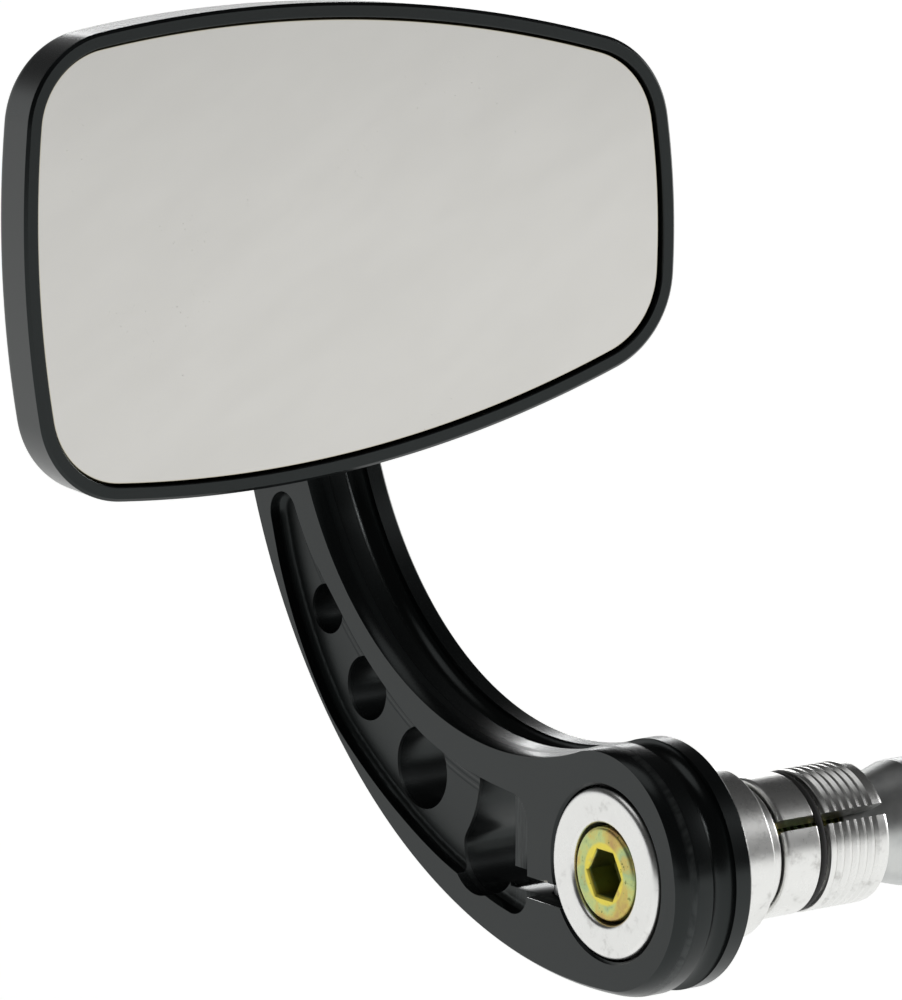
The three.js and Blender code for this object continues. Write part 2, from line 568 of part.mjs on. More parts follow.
function clampParts() {
  const clamp = new THREE.Group();
  clamp.add(
    mesh('bar_end_bushing', bushingGeometry(), brightMetal),
    mesh('clamp_screw', screwGeometry({ ...SCREW, top: SCREW.headTop, chamfer: 0.5 }), yellowZinc),
    mesh('lock_washer', lockWasherGeometry(), zincSteel),
    mesh('cone_nut', coneNutGeometry(), zincSteel),
    mesh('garter_ring', ringX(GARTER.x, GARTER.r, GARTER.wire), blackRubber),
  );
  for (let i = 0; i < COLLET.count; i += 1) {
    const angle = Math.PI / 2 + (i * 2 * Math.PI) / COLLET.count;
    clamp.add(mesh(`collet_jaw_${i + 1}`, colletSegmentGeometry(angle), brightMetal));
  }
  return clamp;
}

function armParts() {
  const arm = new THREE.Group();
  arm.add(
    mesh('arm', armGeometry(), blackAnodised),
    mesh('pinch_screw', pinchScrewGeometry(), zincSteel),
    mesh('ball_stud', ballStudGeometry(), zincSteel),
    mesh('stud_washer', studWasherGeometry(), zincSteel),
    mesh('stud_nut', studNutGeometry(), zincSteel),
  );
  return arm;
}

function headParts() {
  const head = new THREE.Group();
  const open = THREE.MathUtils.degToRad(48);
  const split = Math.PI / 2;
  head.add(
    mesh('mirror_shell', shellGeometry(), blackAnodised),
    mesh('mirror_glass', glassGeometry(), mirrorSilver),
    mesh('adhesive_pad', adhesiveGeometry(), foam),
    mesh('rear_cup', cupGeometry(open, split - 0.06), nylon),
    mesh('front_cup', cupGeometry(split + 0.02, Math.PI - 0.35), nylon),
    mesh('retaining_ring', retainingRingGeometry(), blackAnodised),
    ...ringScrewPlaces().map(([x, y], i) => mesh(`ring_screw_${i + 1}`, ringScrewGeometry(x, y), zincSteel)),
  );
  head.applyMatrix4(headBasis().setPosition(BALL));
  return head;
}

const barEndMirror = new THREE.Group();
barEndMirror.add(clampParts(), armParts(), headParts());

export default barEndMirror;
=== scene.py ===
"""Looks of a bar-end mirror: its fine surfaces, its finishes, and a small studio around it."""

import logging
import math
from dataclasses import dataclass, field
from enum import Enum
from typing import Any, Iterable, Sequence, Union

import bmesh
import bpy
import numpy as np
from mathutils import Matrix, Vector


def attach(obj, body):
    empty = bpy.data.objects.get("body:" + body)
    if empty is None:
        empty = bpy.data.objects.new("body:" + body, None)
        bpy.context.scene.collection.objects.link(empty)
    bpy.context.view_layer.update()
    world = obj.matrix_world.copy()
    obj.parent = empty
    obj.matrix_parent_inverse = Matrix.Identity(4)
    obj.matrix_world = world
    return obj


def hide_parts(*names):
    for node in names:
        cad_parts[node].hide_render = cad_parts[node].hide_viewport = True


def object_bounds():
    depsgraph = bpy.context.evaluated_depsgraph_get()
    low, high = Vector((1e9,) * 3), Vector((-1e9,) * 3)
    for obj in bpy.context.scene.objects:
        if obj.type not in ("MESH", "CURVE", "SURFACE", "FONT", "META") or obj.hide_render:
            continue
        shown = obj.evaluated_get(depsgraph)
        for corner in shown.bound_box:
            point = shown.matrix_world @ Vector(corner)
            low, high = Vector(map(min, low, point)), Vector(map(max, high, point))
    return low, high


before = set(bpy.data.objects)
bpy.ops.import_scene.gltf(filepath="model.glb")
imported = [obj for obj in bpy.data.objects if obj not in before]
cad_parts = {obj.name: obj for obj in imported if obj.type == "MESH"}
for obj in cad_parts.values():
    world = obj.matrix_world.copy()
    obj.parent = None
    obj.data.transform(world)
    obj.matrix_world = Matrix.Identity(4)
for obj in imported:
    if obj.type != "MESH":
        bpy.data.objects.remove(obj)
CAD_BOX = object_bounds()

LOG = logging.getLogger("bar_end_mirror")
MM = 0.001
GAP = 0.3
Array = np.ndarray
Input = Union[float, Sequence[float], bpy.types.NodeSocket, "Value"]


# ------------------------------------------------------------------ shader language
class Value:
    """A number that varies over a surface: sums on it add Math nodes."""

    def __init__(self, nodes: "Nodes", socket: bpy.types.NodeSocket) -> None:
        """Wraps one output socket.

        Args:
            nodes: The material that the socket belongs to.
            socket: The output that carries the number.
        """
        self.nodes = nodes
        self.socket = socket

    def _math(self, operation: str, *operands: Input) -> "Value":
        """Adds one Math node.

        Args:
            operation: The node's operation.
            operands: Its inputs, in order.

        Returns:
            The node's result.
        """
        inputs = dict(enumerate(operands))
        node = self.nodes.add("ShaderNodeMath", {"operation": operation}, inputs)
        return Value(self.nodes, node.outputs[0])

    def __add__(self, other: Input) -> "Value":
        """Sum."""
        return self._math("ADD", self, other)

    def __radd__(self, other: Input) -> "Value":
        """Sum with a number on the left."""
        return self._math("ADD", other, self)

    def __sub__(self, other: Input) -> "Value":
        """Difference."""
        return self._math("SUBTRACT", self, other)

    def __rsub__(self, other: Input) -> "Value":
        """Difference from a number on the left."""
        return self._math("SUBTRACT", other, self)

    def __mul__(self, other: Input) -> "Value":
        """Product."""
        return self._math("MULTIPLY", self, other)

    def __rmul__(self, other: Input) -> "Value":
        """Product with a number on the left."""
        return self._math("MULTIPLY", other, self)

    def sine(self) -> "Value":
        """Sine of the number."""
        return self._math("SINE", self)

    def step(self, low: float, high: float) -> "Value":
        """Goes smoothly from 0 at low to 1 at high, and falls instead where low is the larger.

        Args:
            low: The number at which the result is 0.
            high: The number at which the result is 1.

        Returns:
            The result, between 0 and 1.
        """
        settings = {"interpolation_type": "SMOOTHSTEP"}
        inputs = {"Value": self, "From Min": low, "From Max": high}
        if low > high:
            inputs = {"Value": self, "From Min": high, "From Max": low, "To Min": 1.0, "To Max": 0.0}
        return Value(self.nodes, self.nodes.add("ShaderNodeMapRange", settings, inputs).outputs["Result"])


class Nodes:
    """The node tree of one material or of the surroundings."""

    def __init__(self, owner: Union[bpy.types.Material, bpy.types.World]) -> None:
        """Starts from the shader that a new tree holds.

        Args:
            owner: The new material or world.
        """
        owner.use_nodes = True
        self.tree = owner.node_tree
        self.shader = next(n for n in self.tree.nodes if n.type in ("BSDF_PRINCIPLED", "BACKGROUND"))

    def add(self, kind: str, settings: dict[str, Any],
            inputs: dict[Union[str, int], Input]) -> bpy.types.Node:
        """Adds any node.

        Args:
            kind: The node's type.
            settings: Its properties, set first; "stops" holds a ramp's (place, colour) pairs.
            inputs: Numbers, colours or links for its sockets.

        Returns:
            The new node.
        """
        node = self.tree.nodes.new(kind)
        for key, value in settings.items():
            if key == "stops":
                ramp = node.color_ramp
                while len(ramp.elements) < len(value):
                    ramp.elements.new(0.5)
                for element, (place, colour) in zip(ramp.elements, value):
                    element.position = place
                    element.color = (*colour, 1.0)
            else:
                setattr(node, key, value)
        for key, value in inputs.items():
            self.plug(node.inputs[key], value)
        return node

    def plug(self, socket: bpy.types.NodeSocket, value: Input) -> None:
        """Links a socket, or sets its own value.

        Args:
            socket: The input.
            value: A number, a colour, a socket or a Value.
        """
        if isinstance(value, Value):
            self.tree.links.new(value.socket, socket)
        elif isinstance(value, bpy.types.NodeSocket):
            self.tree.links.new(value, socket)
        elif socket.type == "RGBA" and len(value) == 3:
            socket.default_value = (*value, 1.0)
        else:
            socket.default_value = value

    def surface(self, **inputs: Input) -> None:
        """Sets the shader's own sockets; an underscore in a name stands for a space.

        Args:
            inputs: Values or links by socket name.
        """
        for key, value in inputs.items():
            self.plug(self.shader.inputs[key.replace("_", " ")], value)

    def place(self) -> bpy.types.NodeSocket:
        """The point on the piece, in the piece's own frame, in metres."""
        return self.add("ShaderNodeTexCoord", {}, {}).outputs["Object"]

    def mapped(self, vector: Input, scale: Sequence[float],
               turn: Sequence[float] = (0, 0, 0)) -> bpy.types.NodeSocket:
        """Turns a vector and then stretches it.

        Args:
            vector: The vector.
            scale: Factor on each axis.
            turn: Turn about each axis, in radians.

        Returns:
            The new vector.
        """
        turned = self.add("ShaderNodeMapping", {"vector_type": "POINT"}, {"Vector": vector, "Rotation": turn})
        inputs = {"Vector": turned.outputs[0], "Scale": scale}
        return self.add("ShaderNodeMapping", {"vector_type": "POINT"}, inputs).outputs[0]

    def noise(self, vector: Input, scale: float, detail: float = 3.0, rough: float = 0.5) -> Value:
        """Cloudy variation from 0 to 1.

        Args:
            vector: Where it is read.
            scale: Features in a metre.
            detail: Number of finer layers.
            rough: Weight of the finer layers.

        Returns:
            The variation.
        """
        inputs = {"Vector": vector, "Scale": scale, "Detail": detail, "Roughness": rough}
        return Value(self, self.add("ShaderNodeTexNoise", {}, inputs).outputs[0])

    def distance(self, vector: Input, centre: Sequence[float], stretch: Sequence[float] = (1, 1, 1)) -> Value:
        """Distance from a point, with each axis weighted.

        Args:
            vector: Where it is read.
            centre: The point.
            stretch: Weight of each axis; 0 leaves an axis out, which gives the distance from a line.

        Returns:
            The distance, in metres.
        """
        away = self.add("ShaderNodeVectorMath", {"operation": "SUBTRACT"}, {0: vector, 1: centre})
        weighted = self.add("ShaderNodeVectorMath", {"operation": "MULTIPLY"},
                            {0: away.outputs[0], 1: stretch})
        length = self.add("ShaderNodeVectorMath", {"operation": "LENGTH"}, {0: weighted.outputs[0]})
        return Value(self, length.outputs["Value"])

    def component(self, vector: Input, axis: str) -> Value:
        """One component of a vector.

        Args:
            vector: The vector.
            axis: X, Y or Z.

        Returns:
            The component.
        """
        return Value(self, self.add("ShaderNodeSeparateXYZ", {}, {0: vector}).outputs[axis])

    def attribute(self, name: str) -> Value:
        """A number stored on the mesh."""
        return Value(self, self.add("ShaderNodeAttribute", {"attribute_name": name}, {}).outputs["Fac"])

    def blend(self, factor: Input, first: Input, second: Input) -> bpy.types.NodeSocket:
        """Colour between two colours.

        Args:
            factor: 0 gives the first and 1 the second.
            first: A colour.
            second: A colour.

        Returns:
            The colour.
        """
        mix = self.add("ShaderNodeMix", {"data_type": "RGBA"}, {})
        self.plug(mix.inputs[0], factor)
        self.plug(mix.inputs[6], first)
        self.plug(mix.inputs[7], second)
        return mix.outputs[2]

    def ramp(self, factor: Input, stops: Sequence[tuple[float, Sequence[float]]]) -> bpy.types.NodeSocket:
        """Colour from a ramp of stops."""
        return self.add("ShaderNodeValToRGB", {"stops": stops}, {0: factor}).outputs[0]

    def relief(self, *layers: tuple[Value, float]) -> bpy.types.NodeSocket:
        """Normal of a surface with layers of fine relief.

        Args:
            layers: A height from 0 to 1, and what it stands for in millimetres, for each layer.

        Returns:
            The normal.
        """
        normal = None
        for height, depth in layers:
            inputs = {"Strength": 1.0, "Distance": depth * MM, "Height": height}
            if normal is not None:
                inputs["Normal"] = normal
            normal = self.add("ShaderNodeBump", {}, inputs).outputs[0]
        return normal


# ------------------------------------------------------------------ finishes
@dataclass(frozen=True)
class Finish:
    """A finish, with the name of the record's slot that it paints."""

    slot: str = ""

    def paint(self, nodes: Nodes) -> None:
        """Sets the shader of one material."""
        raise NotImplementedError

    def material(self) -> bpy.types.Material:
        """Makes the material once and hands it out again later.

        Returns:
            The material.
        """
        name = type(self).__name__
        found = bpy.data.materials.get(name)
        if found is None:
            found = bpy.data.materials.new(name)
            self.paint(Nodes(found))
        return found


@dataclass(frozen=True)
class BlackAnodised(Finish):
    """Satin black anodising over machined aluminium."""

    slot: str = "black_anodised"
    deep: tuple[float, float, float] = (0.0024, 0.0029, 0.0030)
    worn: tuple[float, float, float] = (0.0050, 0.0060, 0.0062)
    roughness: float = 0.19

    def paint(self, nodes: Nodes) -> None:
        """Cloudy dye, cutter lines that run across the part, and fine dust in the sheen."""
        here = nodes.place()
        cloud = nodes.noise(here, 90.0, 4.0)
        lines = nodes.noise(nodes.mapped(here, (1.0, 1.0, 26.0), (0.55, 0.0, 0.0)), 420.0, 3.0)
        grain = nodes.noise(here, 5200.0, 2.0)
        nodes.surface(
            Base_Color=nodes.blend(cloud.step(0.35, 0.7), self.deep, self.worn),
            Roughness=self.roughness + 0.10 * cloud + 0.02 * lines,
            IOR=1.42,
            Specular_Tint=(0.91, 1.0, 1.0),
            Normal=nodes.relief((lines, 0.00008), (grain, 0.0005)),
        )


@dataclass(frozen=True)
class ArmAnodised(BlackAnodised):
    """The same anodising, with the pocket's mill marks, painted sheen beside its largest hole, a roughened
    slot and bare metal where it was forced.
    """

    bare: tuple[float, float, float] = (0.30, 0.288, 0.26)
    # Painted sheen: colour of a lighter strip of pocket floor beside the largest hole, standing for light on
    # the floor.
    painted_sheen: tuple[float, float, float] = (0.026, 0.028, 0.028)
    scuff: tuple[float, float, float] = (-18.6 * MM, 13.4 * MM, -4.6 * MM)

    def paint(self, nodes: Nodes) -> None:
        """Mill marks below the arm's face, painted sheen on the pocket floor beside the largest hole, and
        flakes of bare metal at the slot's inner end.
        """
        here = nodes.place()
        cloud = nodes.noise(here, 90.0, 4.0)
        depth = nodes.component(here, "X")
        milled = depth.step(-18.6 * MM, -18.0 * MM) * depth.step(-17.2 * MM, -17.6 * MM)
        sweep = nodes.distance(here, (0.0, 17.5 * MM, 69.5 * MM), (0.0, 1.0, 1.0))
        passes = nodes.noise(nodes.mapped(here, (1.0, 30.0, 1.0), (-0.75, 0.0, 0.0)), 150.0, 4.0, 0.6)
        tracks = (sweep * 5600.0 + passes * 5.0).sine() * 0.5 + 0.5
        lines = nodes.noise(nodes.mapped(here, (1.0, 1.0, 26.0), (0.55, 0.0, 0.0)), 420.0, 3.0)
        grain = nodes.noise(here, 5200.0, 2.0)
        flakes = nodes.noise(here, 1500.0, 5.0, 0.7)
        reach = nodes.distance(here, self.scuff, (0.35, 0.55, 1.0))
        forced = reach.step(5.5 * MM, 3.0 * MM) * depth.step(-19.9 * MM, -19.6 * MM)
        worn = (flakes * reach.step(2.3 * MM, 0.4 * MM)).step(0.36, 0.44)
        inner = milled * sweep.step(62.6 * MM, 62.2 * MM)
        # Painted sheen: the pocket floor between the pocket's end and the largest hole is made lighter, in
        # streaks.
        sheen_strip = milled * nodes.component(here, "Y").step(23.8 * MM, 23.0 * MM)
        streaks = nodes.noise(nodes.mapped(here, (1.0, 6.0, 0.6)), 420.0, 3.0)
        dye = nodes.blend(cloud.step(0.35, 0.7) * 0.5 + tracks * inner * 0.9, self.deep, self.worn)
        dye = nodes.blend(sheen_strip * streaks.step(0.30, 0.62), dye, self.painted_sheen)
        nodes.surface(
            Base_Color=nodes.blend(worn, dye, self.bare),
            Metallic=worn * 0.9,
            Roughness=self.roughness + 0.10 * cloud + 0.02 * lines + 0.10 * milled + 0.75 * forced,
            IOR=1.42,
            Specular_Tint=(0.91, 1.0, 1.0),
            Normal=nodes.relief((lines, 0.00008), (grain, 0.0005), (tracks * inner, 0.0030),
                                (flakes * worn, 0.05)),
        )


@dataclass(frozen=True)
class TurnedAluminium(Finish):
    """Bright aluminium with the rings that a lathe leaves about the bar's axis."""

    slot: str = "bright_aluminium"
    tint: tuple[float, float, float] = (0.79, 0.79, 0.775)

    def paint(self, nodes: Nodes) -> None:
        """Rings about the axis, small dents and a few dull marks."""
        here = nodes.place()
        radius = nodes.distance(here, (0, 0, 0), (0, 1, 1))
        along = nodes.component(here, "X")
        rings = ((radius + along) * 42000.0 + nodes.noise(here, 60.0) * 6.0).sine() * 0.5 + 0.5
        marks = nodes.noise(here, 260.0, 5.0, 0.65)
        dents = nodes.noise(here, 700.0, 2.0).step(0.68, 0.80)
        nodes.surface(
            Base_Color=nodes.blend(marks.step(0.55, 0.75), self.tint, (0.52, 0.515, 0.50)),
            Metallic=1.0,
            Roughness=0.20 + 0.16 * marks + 0.05 * rings,
            Normal=nodes.relief((rings, 0.0010), (1.0 - dents, 0.012)),
        )


@dataclass(frozen=True)
class YellowZinc(Finish):
    """Yellow passivated zinc plate, which drifts between green and gold."""

    slot: str = "yellow_zinc"

    def paint(self, nodes: Nodes) -> None:
        """Patches of green, yellow and tan, with dark specks, and painted shade inside the hex socket."""
        here = nodes.place()
        drift = nodes.noise(here, 210.0, 2.0, 0.4)
        radius = nodes.distance(here, (0.0, 0.0, 0.0), (0.0, 1.0, 1.0))
        top = nodes.component(here, "X").step(-19.9 * MM, -20.1 * MM)
        collar = top * radius.step(4.55 * MM, 4.05 * MM) * nodes.noise(here, 420.0, 3.0).step(0.30, 0.46)
        # Painted shade: below the top, all that lies within 3.6 mm of the axis is darkened, which is the
        # inside of the hex socket and the thread's roots.
        socket = radius.step(3.75 * MM, 3.6 * MM) * nodes.component(here, "X").step(-19.9 * MM, -19.5 * MM)
        specks = nodes.noise(here, 1500.0, 3.0, 0.6)
        colour = nodes.ramp(drift * 0.82 + specks * 0.18, [
            (0.34, (0.50, 0.33, 0.13)),
            (0.43, (0.62, 0.50, 0.14)),
            (0.50, (0.56, 0.62, 0.24)),
            (0.58, (0.40, 0.53, 0.27)),
            (0.68, (0.60, 0.50, 0.16)),
        ])
        nodes.surface(
            Base_Color=nodes.blend(specks.step(0.62, 0.74) + socket * 0.85,
                                   nodes.blend(collar, colour, (0.80, 0.68, 0.10)), (0.17, 0.18, 0.04)),
            Metallic=0.9,
            Roughness=0.30 + 0.16 * specks,
            Normal=nodes.relief((specks, 0.004)),
        )


@dataclass(frozen=True)
class SilveredGlass(Finish):
    """Front of a silvered glass, a little dusty, with its silvering stained at the rim."""

    slot: str = "mirror_glass"

    def paint(self, nodes: Nodes) -> None:
        """Even silver, wiped smears, dust, and a brown line along the edge."""
        here = nodes.place()
        smears = nodes.noise(nodes.mapped(here, (1.0, 1.0, 3.2), (0.0, 0.5, 0.0)), 42.0, 6.0, 0.62)
        dust = nodes.noise(here, 3300.0, 2.0).step(0.70, 0.76)
        patch = nodes.noise(here, 30.0, 2.0).step(0.5, 0.62)
        edge = nodes.attribute("rim").step(0.45, 0.0)
        silver = nodes.blend(smears.step(0.3, 0.7), (0.553, 0.544, 0.523), (0.537, 0.528, 0.507))
        nodes.surface(
            Base_Color=nodes.blend(edge, silver, (0.42, 0.36, 0.20)),
            Metallic=1.0,
            Roughness=0.05 + 0.07 * smears + 0.25 * (dust * patch),
        )


@dataclass(frozen=True)
class ZincPlate(Finish):
    """Dull zinc plate on turned steel."""

    slot: str = "zinc_steel"

    def paint(self, nodes: Nodes) -> None:
        """Cloudy grey with a crystalline grain and light handling marks."""
        here = nodes.place()
        cloud = nodes.noise(here, 180.0, 4.0)
        cells = nodes.add("ShaderNodeTexVoronoi", {}, {"Vector": here, "Scale": 2200.0})
        grain = Value(nodes, cells.outputs["Distance"])
        nodes.surface(
            Base_Color=nodes.blend(cloud.step(0.3, 0.7), (0.44, 0.45, 0.45), (0.60, 0.61, 0.60)),
            Metallic=1.0,
            Roughness=0.28 + 0.20 * cloud,
            Normal=nodes.relief((grain, 0.0025)),
        )


@dataclass(frozen=True)
class BlackRubber(Finish):
    """Matt moulded rubber."""

    slot: str = "black_rubber"

    def paint(self, nodes: Nodes) -> None:
        """Dusty bloom over a fine grain."""
        here = nodes.place()
        bloom = nodes.noise(here, 300.0, 4.0)
        grain = nodes.noise(here, 6000.0, 2.0)
        nodes.surface(
            Base_Color=nodes.blend(bloom, (0.012, 0.012, 0.012), (0.035, 0.034, 0.033)),
            Roughness=0.62 + 0.2 * bloom,
            Normal=nodes.relief((grain, 0.004)),
        )


@dataclass(frozen=True)
class NaturalNylon(Finish):
    """Milky nylon, slightly waxy."""

    slot: str = "nylon"

    def paint(self, nodes: Nodes) -> None:
        """Cream colour with faint flow marks."""
        here = nodes.place()
        flow = nodes.noise(nodes.mapped(here, (1.0, 4.0, 1.0)), 240.0, 4.0)
        nodes.surface(
            Base_Color=nodes.blend(flow, (0.62, 0.60, 0.52), (0.74, 0.72, 0.65)),
            Roughness=0.42 + 0.14 * flow,
            Normal=nodes.relief((flow, 0.006)),
        )


@dataclass(frozen=True)
class FoamTape(Finish):
    """Black closed-cell foam tape."""

    slot: str = "foam_pad"

    def paint(self, nodes: Nodes) -> None:
        """Fine pores."""
        cells = nodes.add("ShaderNodeTexVoronoi", {}, {"Vector": nodes.place(), "Scale": 1800.0})
        pores = Value(nodes, cells.outputs["Distance"])
        nodes.surface(
            Base_Color=nodes.blend(pores, (0.015, 0.015, 0.015), (0.05, 0.05, 0.05)),
            Roughness=0.86 + 0.08 * pores,
            Normal=nodes.relief((pores, 0.08)),
        )


@dataclass(frozen=True)
class PaleFloor(Finish):
    """Matt pale floor, lit from below."""

    slot: str = ""
    glow: float = 0.76

    def paint(self, nodes: Nodes) -> None:
        """Almost white, with the faintest unevenness."""
        haze = nodes.noise(nodes.place(), 1.5, 2.0)
        nodes.surface(
            Base_Color=nodes.blend(haze, (0.86, 0.86, 0.855), (0.88, 0.88, 0.875)),
            Roughness=0.9,
            Specular_IOR_Level=0.1,
            Emission_Color=(0.995, 1.0, 0.99),
            Emission_Strength=self.glow,
        )


# ------------------------------------------------------------------ curves and surfaces
def arc(y: float, z: float, radius: float, start: float, end: float, count: int) -> Array:
    """Points of a circle: centre plus radius times (cos, sin) of evenly spaced angles.

    Args:
        y: First coordinate of the centre.
        z: Second coordinate of the centre.
        radius: Radius.
        start: First angle, in radians.
        end: Last angle.
        count: Number of points.

    Returns:
        A (count, 2) array.
    """
    angle = np.linspace(start, end, count)
    return np.stack([y + radius * np.cos(angle), z + radius * np.sin(angle)], axis=1)


def smooth_run(knots: Sequence[Sequence[float]], steps: int) -> Array:
    """Catmull-Rom curve through knots: each span is the cubic set by its four nearest knots.

    Args:
        knots: The points that it passes.
        steps: Points in each span.

    Returns:
        A (spans * steps + 1, 2) array.
    """
    points = np.asarray(knots, float)
    padded = np.vstack([points[0], points, points[-1]])
    a, b, c, d = padded[:-3], padded[1:-2], padded[2:-1], padded[3:]
    t = (np.arange(steps) / steps)[None, :, None]
    a, b, c, d = (part[:, None, :] for part in (a, b, c, d))
    cubic = 2 * b + (c - a) * t + (2 * a - 5 * b + 4 * c - d) * t**2 + (3 * b - a - 3 * c + d) * t**3
    return np.vstack([0.5 * cubic.reshape(-1, 2), points[-1]])


def rounded(corners: Sequence[Sequence[float]], closed: bool = False, steps: int = 6) -> Array:
    """Profile of straight lines whose corners are turned into arcs tangent to both lines.

    Each corner gives (first, second, radius). An arc leaves the lines at radius / tan(half the corner's
    angle), and its points are found by turning evenly about its centre. Lines get a point close to each
    arc, so that the shading of the arc doesn't spread over the line.

    Args:
        corners: The corners.
        closed: Whether the last corner joins the first.
        steps: Points in each arc.

    Returns:
        An (n, 2) array.
    """
    data = np.asarray([(*c, 0.0)[:3] for c in corners], float)
    points, radii = data[:, :2], data[:, 2]
    before, after = np.roll(points, 1, axis=0), np.roll(points, -1, axis=0)
    back, ahead = before - points, after - points
    reach = np.minimum(np.linalg.norm(back, axis=1), np.linalg.norm(ahead, axis=1))
    back /= np.linalg.norm(back, axis=1)[:, None]
    ahead /= np.linalg.norm(ahead, axis=1)[:, None]
    half = 0.5 * np.arccos(np.clip(np.sum(back * ahead, axis=1), -1, 1))
    leave = np.minimum(radii / np.tan(np.maximum(half, 1e-3)), 0.48 * reach)
    radii = leave * np.tan(half)
    runs = []
    ends = (0, len(points) - 1)
    for i, point in enumerate(points):
        if (not closed and i in ends) or radii[i] < 1e-6:
            runs.append(point[None])
            continue
        bisector = back[i] + ahead[i]
        centre = point + bisector / np.linalg.norm(bisector) * (radii[i] / math.sin(half[i]))
        first = point + back[i] * leave[i] - centre
        last = point + ahead[i] * leave[i] - centre
        swing = math.atan2(first[0] * last[1] - first[1] * last[0], float(first @ last))
        turn = np.linspace(0, swing, steps)
        spun = np.stack([first[0] * np.cos(turn) - first[1] * np.sin(turn),
                         first[0] * np.sin(turn) + first[1] * np.cos(turn)], axis=1)
        near = min(0.35 * radii[i] + 0.02, 0.3 * (reach[i] - leave[i]))
        runs.append(np.vstack([centre + first + back[i] * near, centre + spun,
                               centre + last + ahead[i] * near]))
    return np.vstack(runs)


def even_loop(points: Array, values: Array, count: int) -> tuple[Array, Array]:
    """Closed curve resampled at even spacing: coordinates are read off against the length run so far.

    Args:
        points: The curve.
        values: A number at each point.
        count: New number of points.

    Returns:
        The points and their numbers.
    """
    ring = np.vstack([points, points[:1]])
    run = np.concatenate([[0], np.cumsum(np.linalg.norm(np.diff(ring, axis=0), axis=1))])
    at = np.arange(count) / count * run[-1]
    spread = np.append(values, values[0])
    return np.stack([np.interp(at, run, ring[:, k]) for k in (0, 1)], axis=1), np.interp(at, run, spread)


def outward(loop: Array) -> Array:
    """Outward unit normals of a closed anticlockwise curve: the tangent turned by minus 90 degrees."""
    tangent = np.roll(loop, -1, axis=0) - np.roll(loop, 1, axis=0)
    tangent /= np.linalg.norm(tangent, axis=1)[:, None]
    return np.stack([tangent[:, 1], -tangent[:, 0]], axis=1)


def anticlockwise(loop: Array) -> Array:
    """The loop, reversed if it runs clockwise, without repeated points."""
    loop = loop[np.linalg.norm(loop - np.roll(loop, -1, axis=0), axis=1) > 1e-4]
    area = np.sum(loop[:, 0] * np.roll(loop[:, 1], -1) - loop[:, 1] * np.roll(loop[:, 0], -1))
    return loop if area > 0 else loop[::-1]


def stacked(loop: Array, levels: Array) -> Array:
    """Walls over a closed curve: point plus normal times outset, at the level's height.

    Args:
        loop: An (n, 2) curve, anticlockwise.
        levels: A (rows, 2) array of height and outset; the outset may also be an (rows, n) array's row.

    Returns:
        A (rows, n, 3) grid of (first, second, height).
    """
    heights, outsets = levels[:, :1], levels[:, 1:]
    plane = loop[None] + outward(loop)[None] * outsets[:, :, None]
    return np.concatenate([plane, np.broadcast_to(heights[:, :, None], (*plane.shape[:2], 1))], axis=2)


def turned(profile: Array, columns: int = 96) -> Array:
    """Surface of revolution: a profile of (height, radius) turned about the third axis.

    Args:
        profile: An (n, 2) array.
        columns: Points around.

    Returns:
        An (n, columns, 3) grid.
    """
    angle = np.linspace(0, 2 * math.pi, columns, endpoint=False)
    radius = profile[:, 1:]
    height = np.broadcast_to(profile[:, :1], (len(profile), columns))
    return np.stack([radius * np.cos(angle), radius * np.sin(angle), height], axis=2)


def hexagon(columns: int, flats: float, phase: float = 0.0) -> Array:
    """Radius of a hexagon in each direction: half the flats over the cosine from a flat's middle.

    Args:
        columns: Directions around, a multiple of 12.
        flats: Distance across the flats.
        phase: Angle of one corner, in radians.

    Returns:
        One radius for each direction.
    """
    angle = np.linspace(0, 2 * math.pi, columns, endpoint=False) - phase
    from_flat = np.mod(angle, math.pi / 3) - math.pi / 6
    return flats / 2 / np.cos(from_flat)


def ringed(rows: Sequence[tuple[Any, float]], columns: int) -> Array:
    """Surface whose rows are closed curves about the third axis, each given by its radius and height.

    Args:
        rows: Radius (a number, or one for each direction) and height (the same) of each row.
        columns: Directions around.

    Returns:
        A (rows, columns, 3) grid.
    """
    angle = np.linspace(0, 2 * math.pi, columns, endpoint=False)
    radius = np.stack([np.broadcast_to(r, (columns,)) for r, _ in rows])
    height = np.stack([np.broadcast_to(h, (columns,)) for _, h in rows])
    return np.stack([radius * np.cos(angle), radius * np.sin(angle), height], axis=2)


def threaded(start: float, end: float, radius: float, pitch: float, columns: int) -> Array:
    """Screw thread: the radius falls by a rounded saw of height over pitch, and fades at both ends.

    Args:
        start: Height where it starts.
        end: Height where it ends.
        radius: Outer radius.
        pitch: Distance between crests.
        columns: Points around.

    Returns:
        A (rows, columns, 3) grid.
    """
    rows = int(abs(end - start) / pitch * 9) + 2
    height = np.linspace(start, end, rows)[:, None]
    angle = np.linspace(0, 2 * math.pi, columns, endpoint=False)[None]
    phase = np.mod(height / pitch - angle / (2 * math.pi), 1.0)
    valley = 0.5 - 0.5 * np.cos(2 * math.pi * phase)
    edge = np.minimum(np.abs(height - start), np.abs(end - height)) / pitch
    depth = 0.54 * pitch * valley * np.clip(edge, 0, 1)
    r = radius - depth
    return np.stack([r * np.cos(angle), r * np.sin(angle), np.broadcast_to(height, r.shape)], axis=2)


@dataclass(frozen=True)
class Placement:
    """Where a local frame sits in the part's frame, in millimetres."""

    origin: tuple[float, float, float]
    right: tuple[float, float, float]
    up: tuple[float, float, float]
    out: tuple[float, float, float]

    def put(self, grid: Array) -> Array:
        """Local points moved into the part's frame: origin plus each coordinate times its axis."""
        return np.asarray(self.origin) + grid @ np.array([self.right, self.up, self.out], float)


BAR = Placement((0, 0, 0), (0, 1, 0), (0, 0, 1), (1, 0, 0))


class Smoothing(Enum):
    """How the faces of a piece meet, as the largest angle that is still smooth, in degrees."""

    MACHINED = 10.0
    TURNED = 24.0
    MOULDED = 60.0


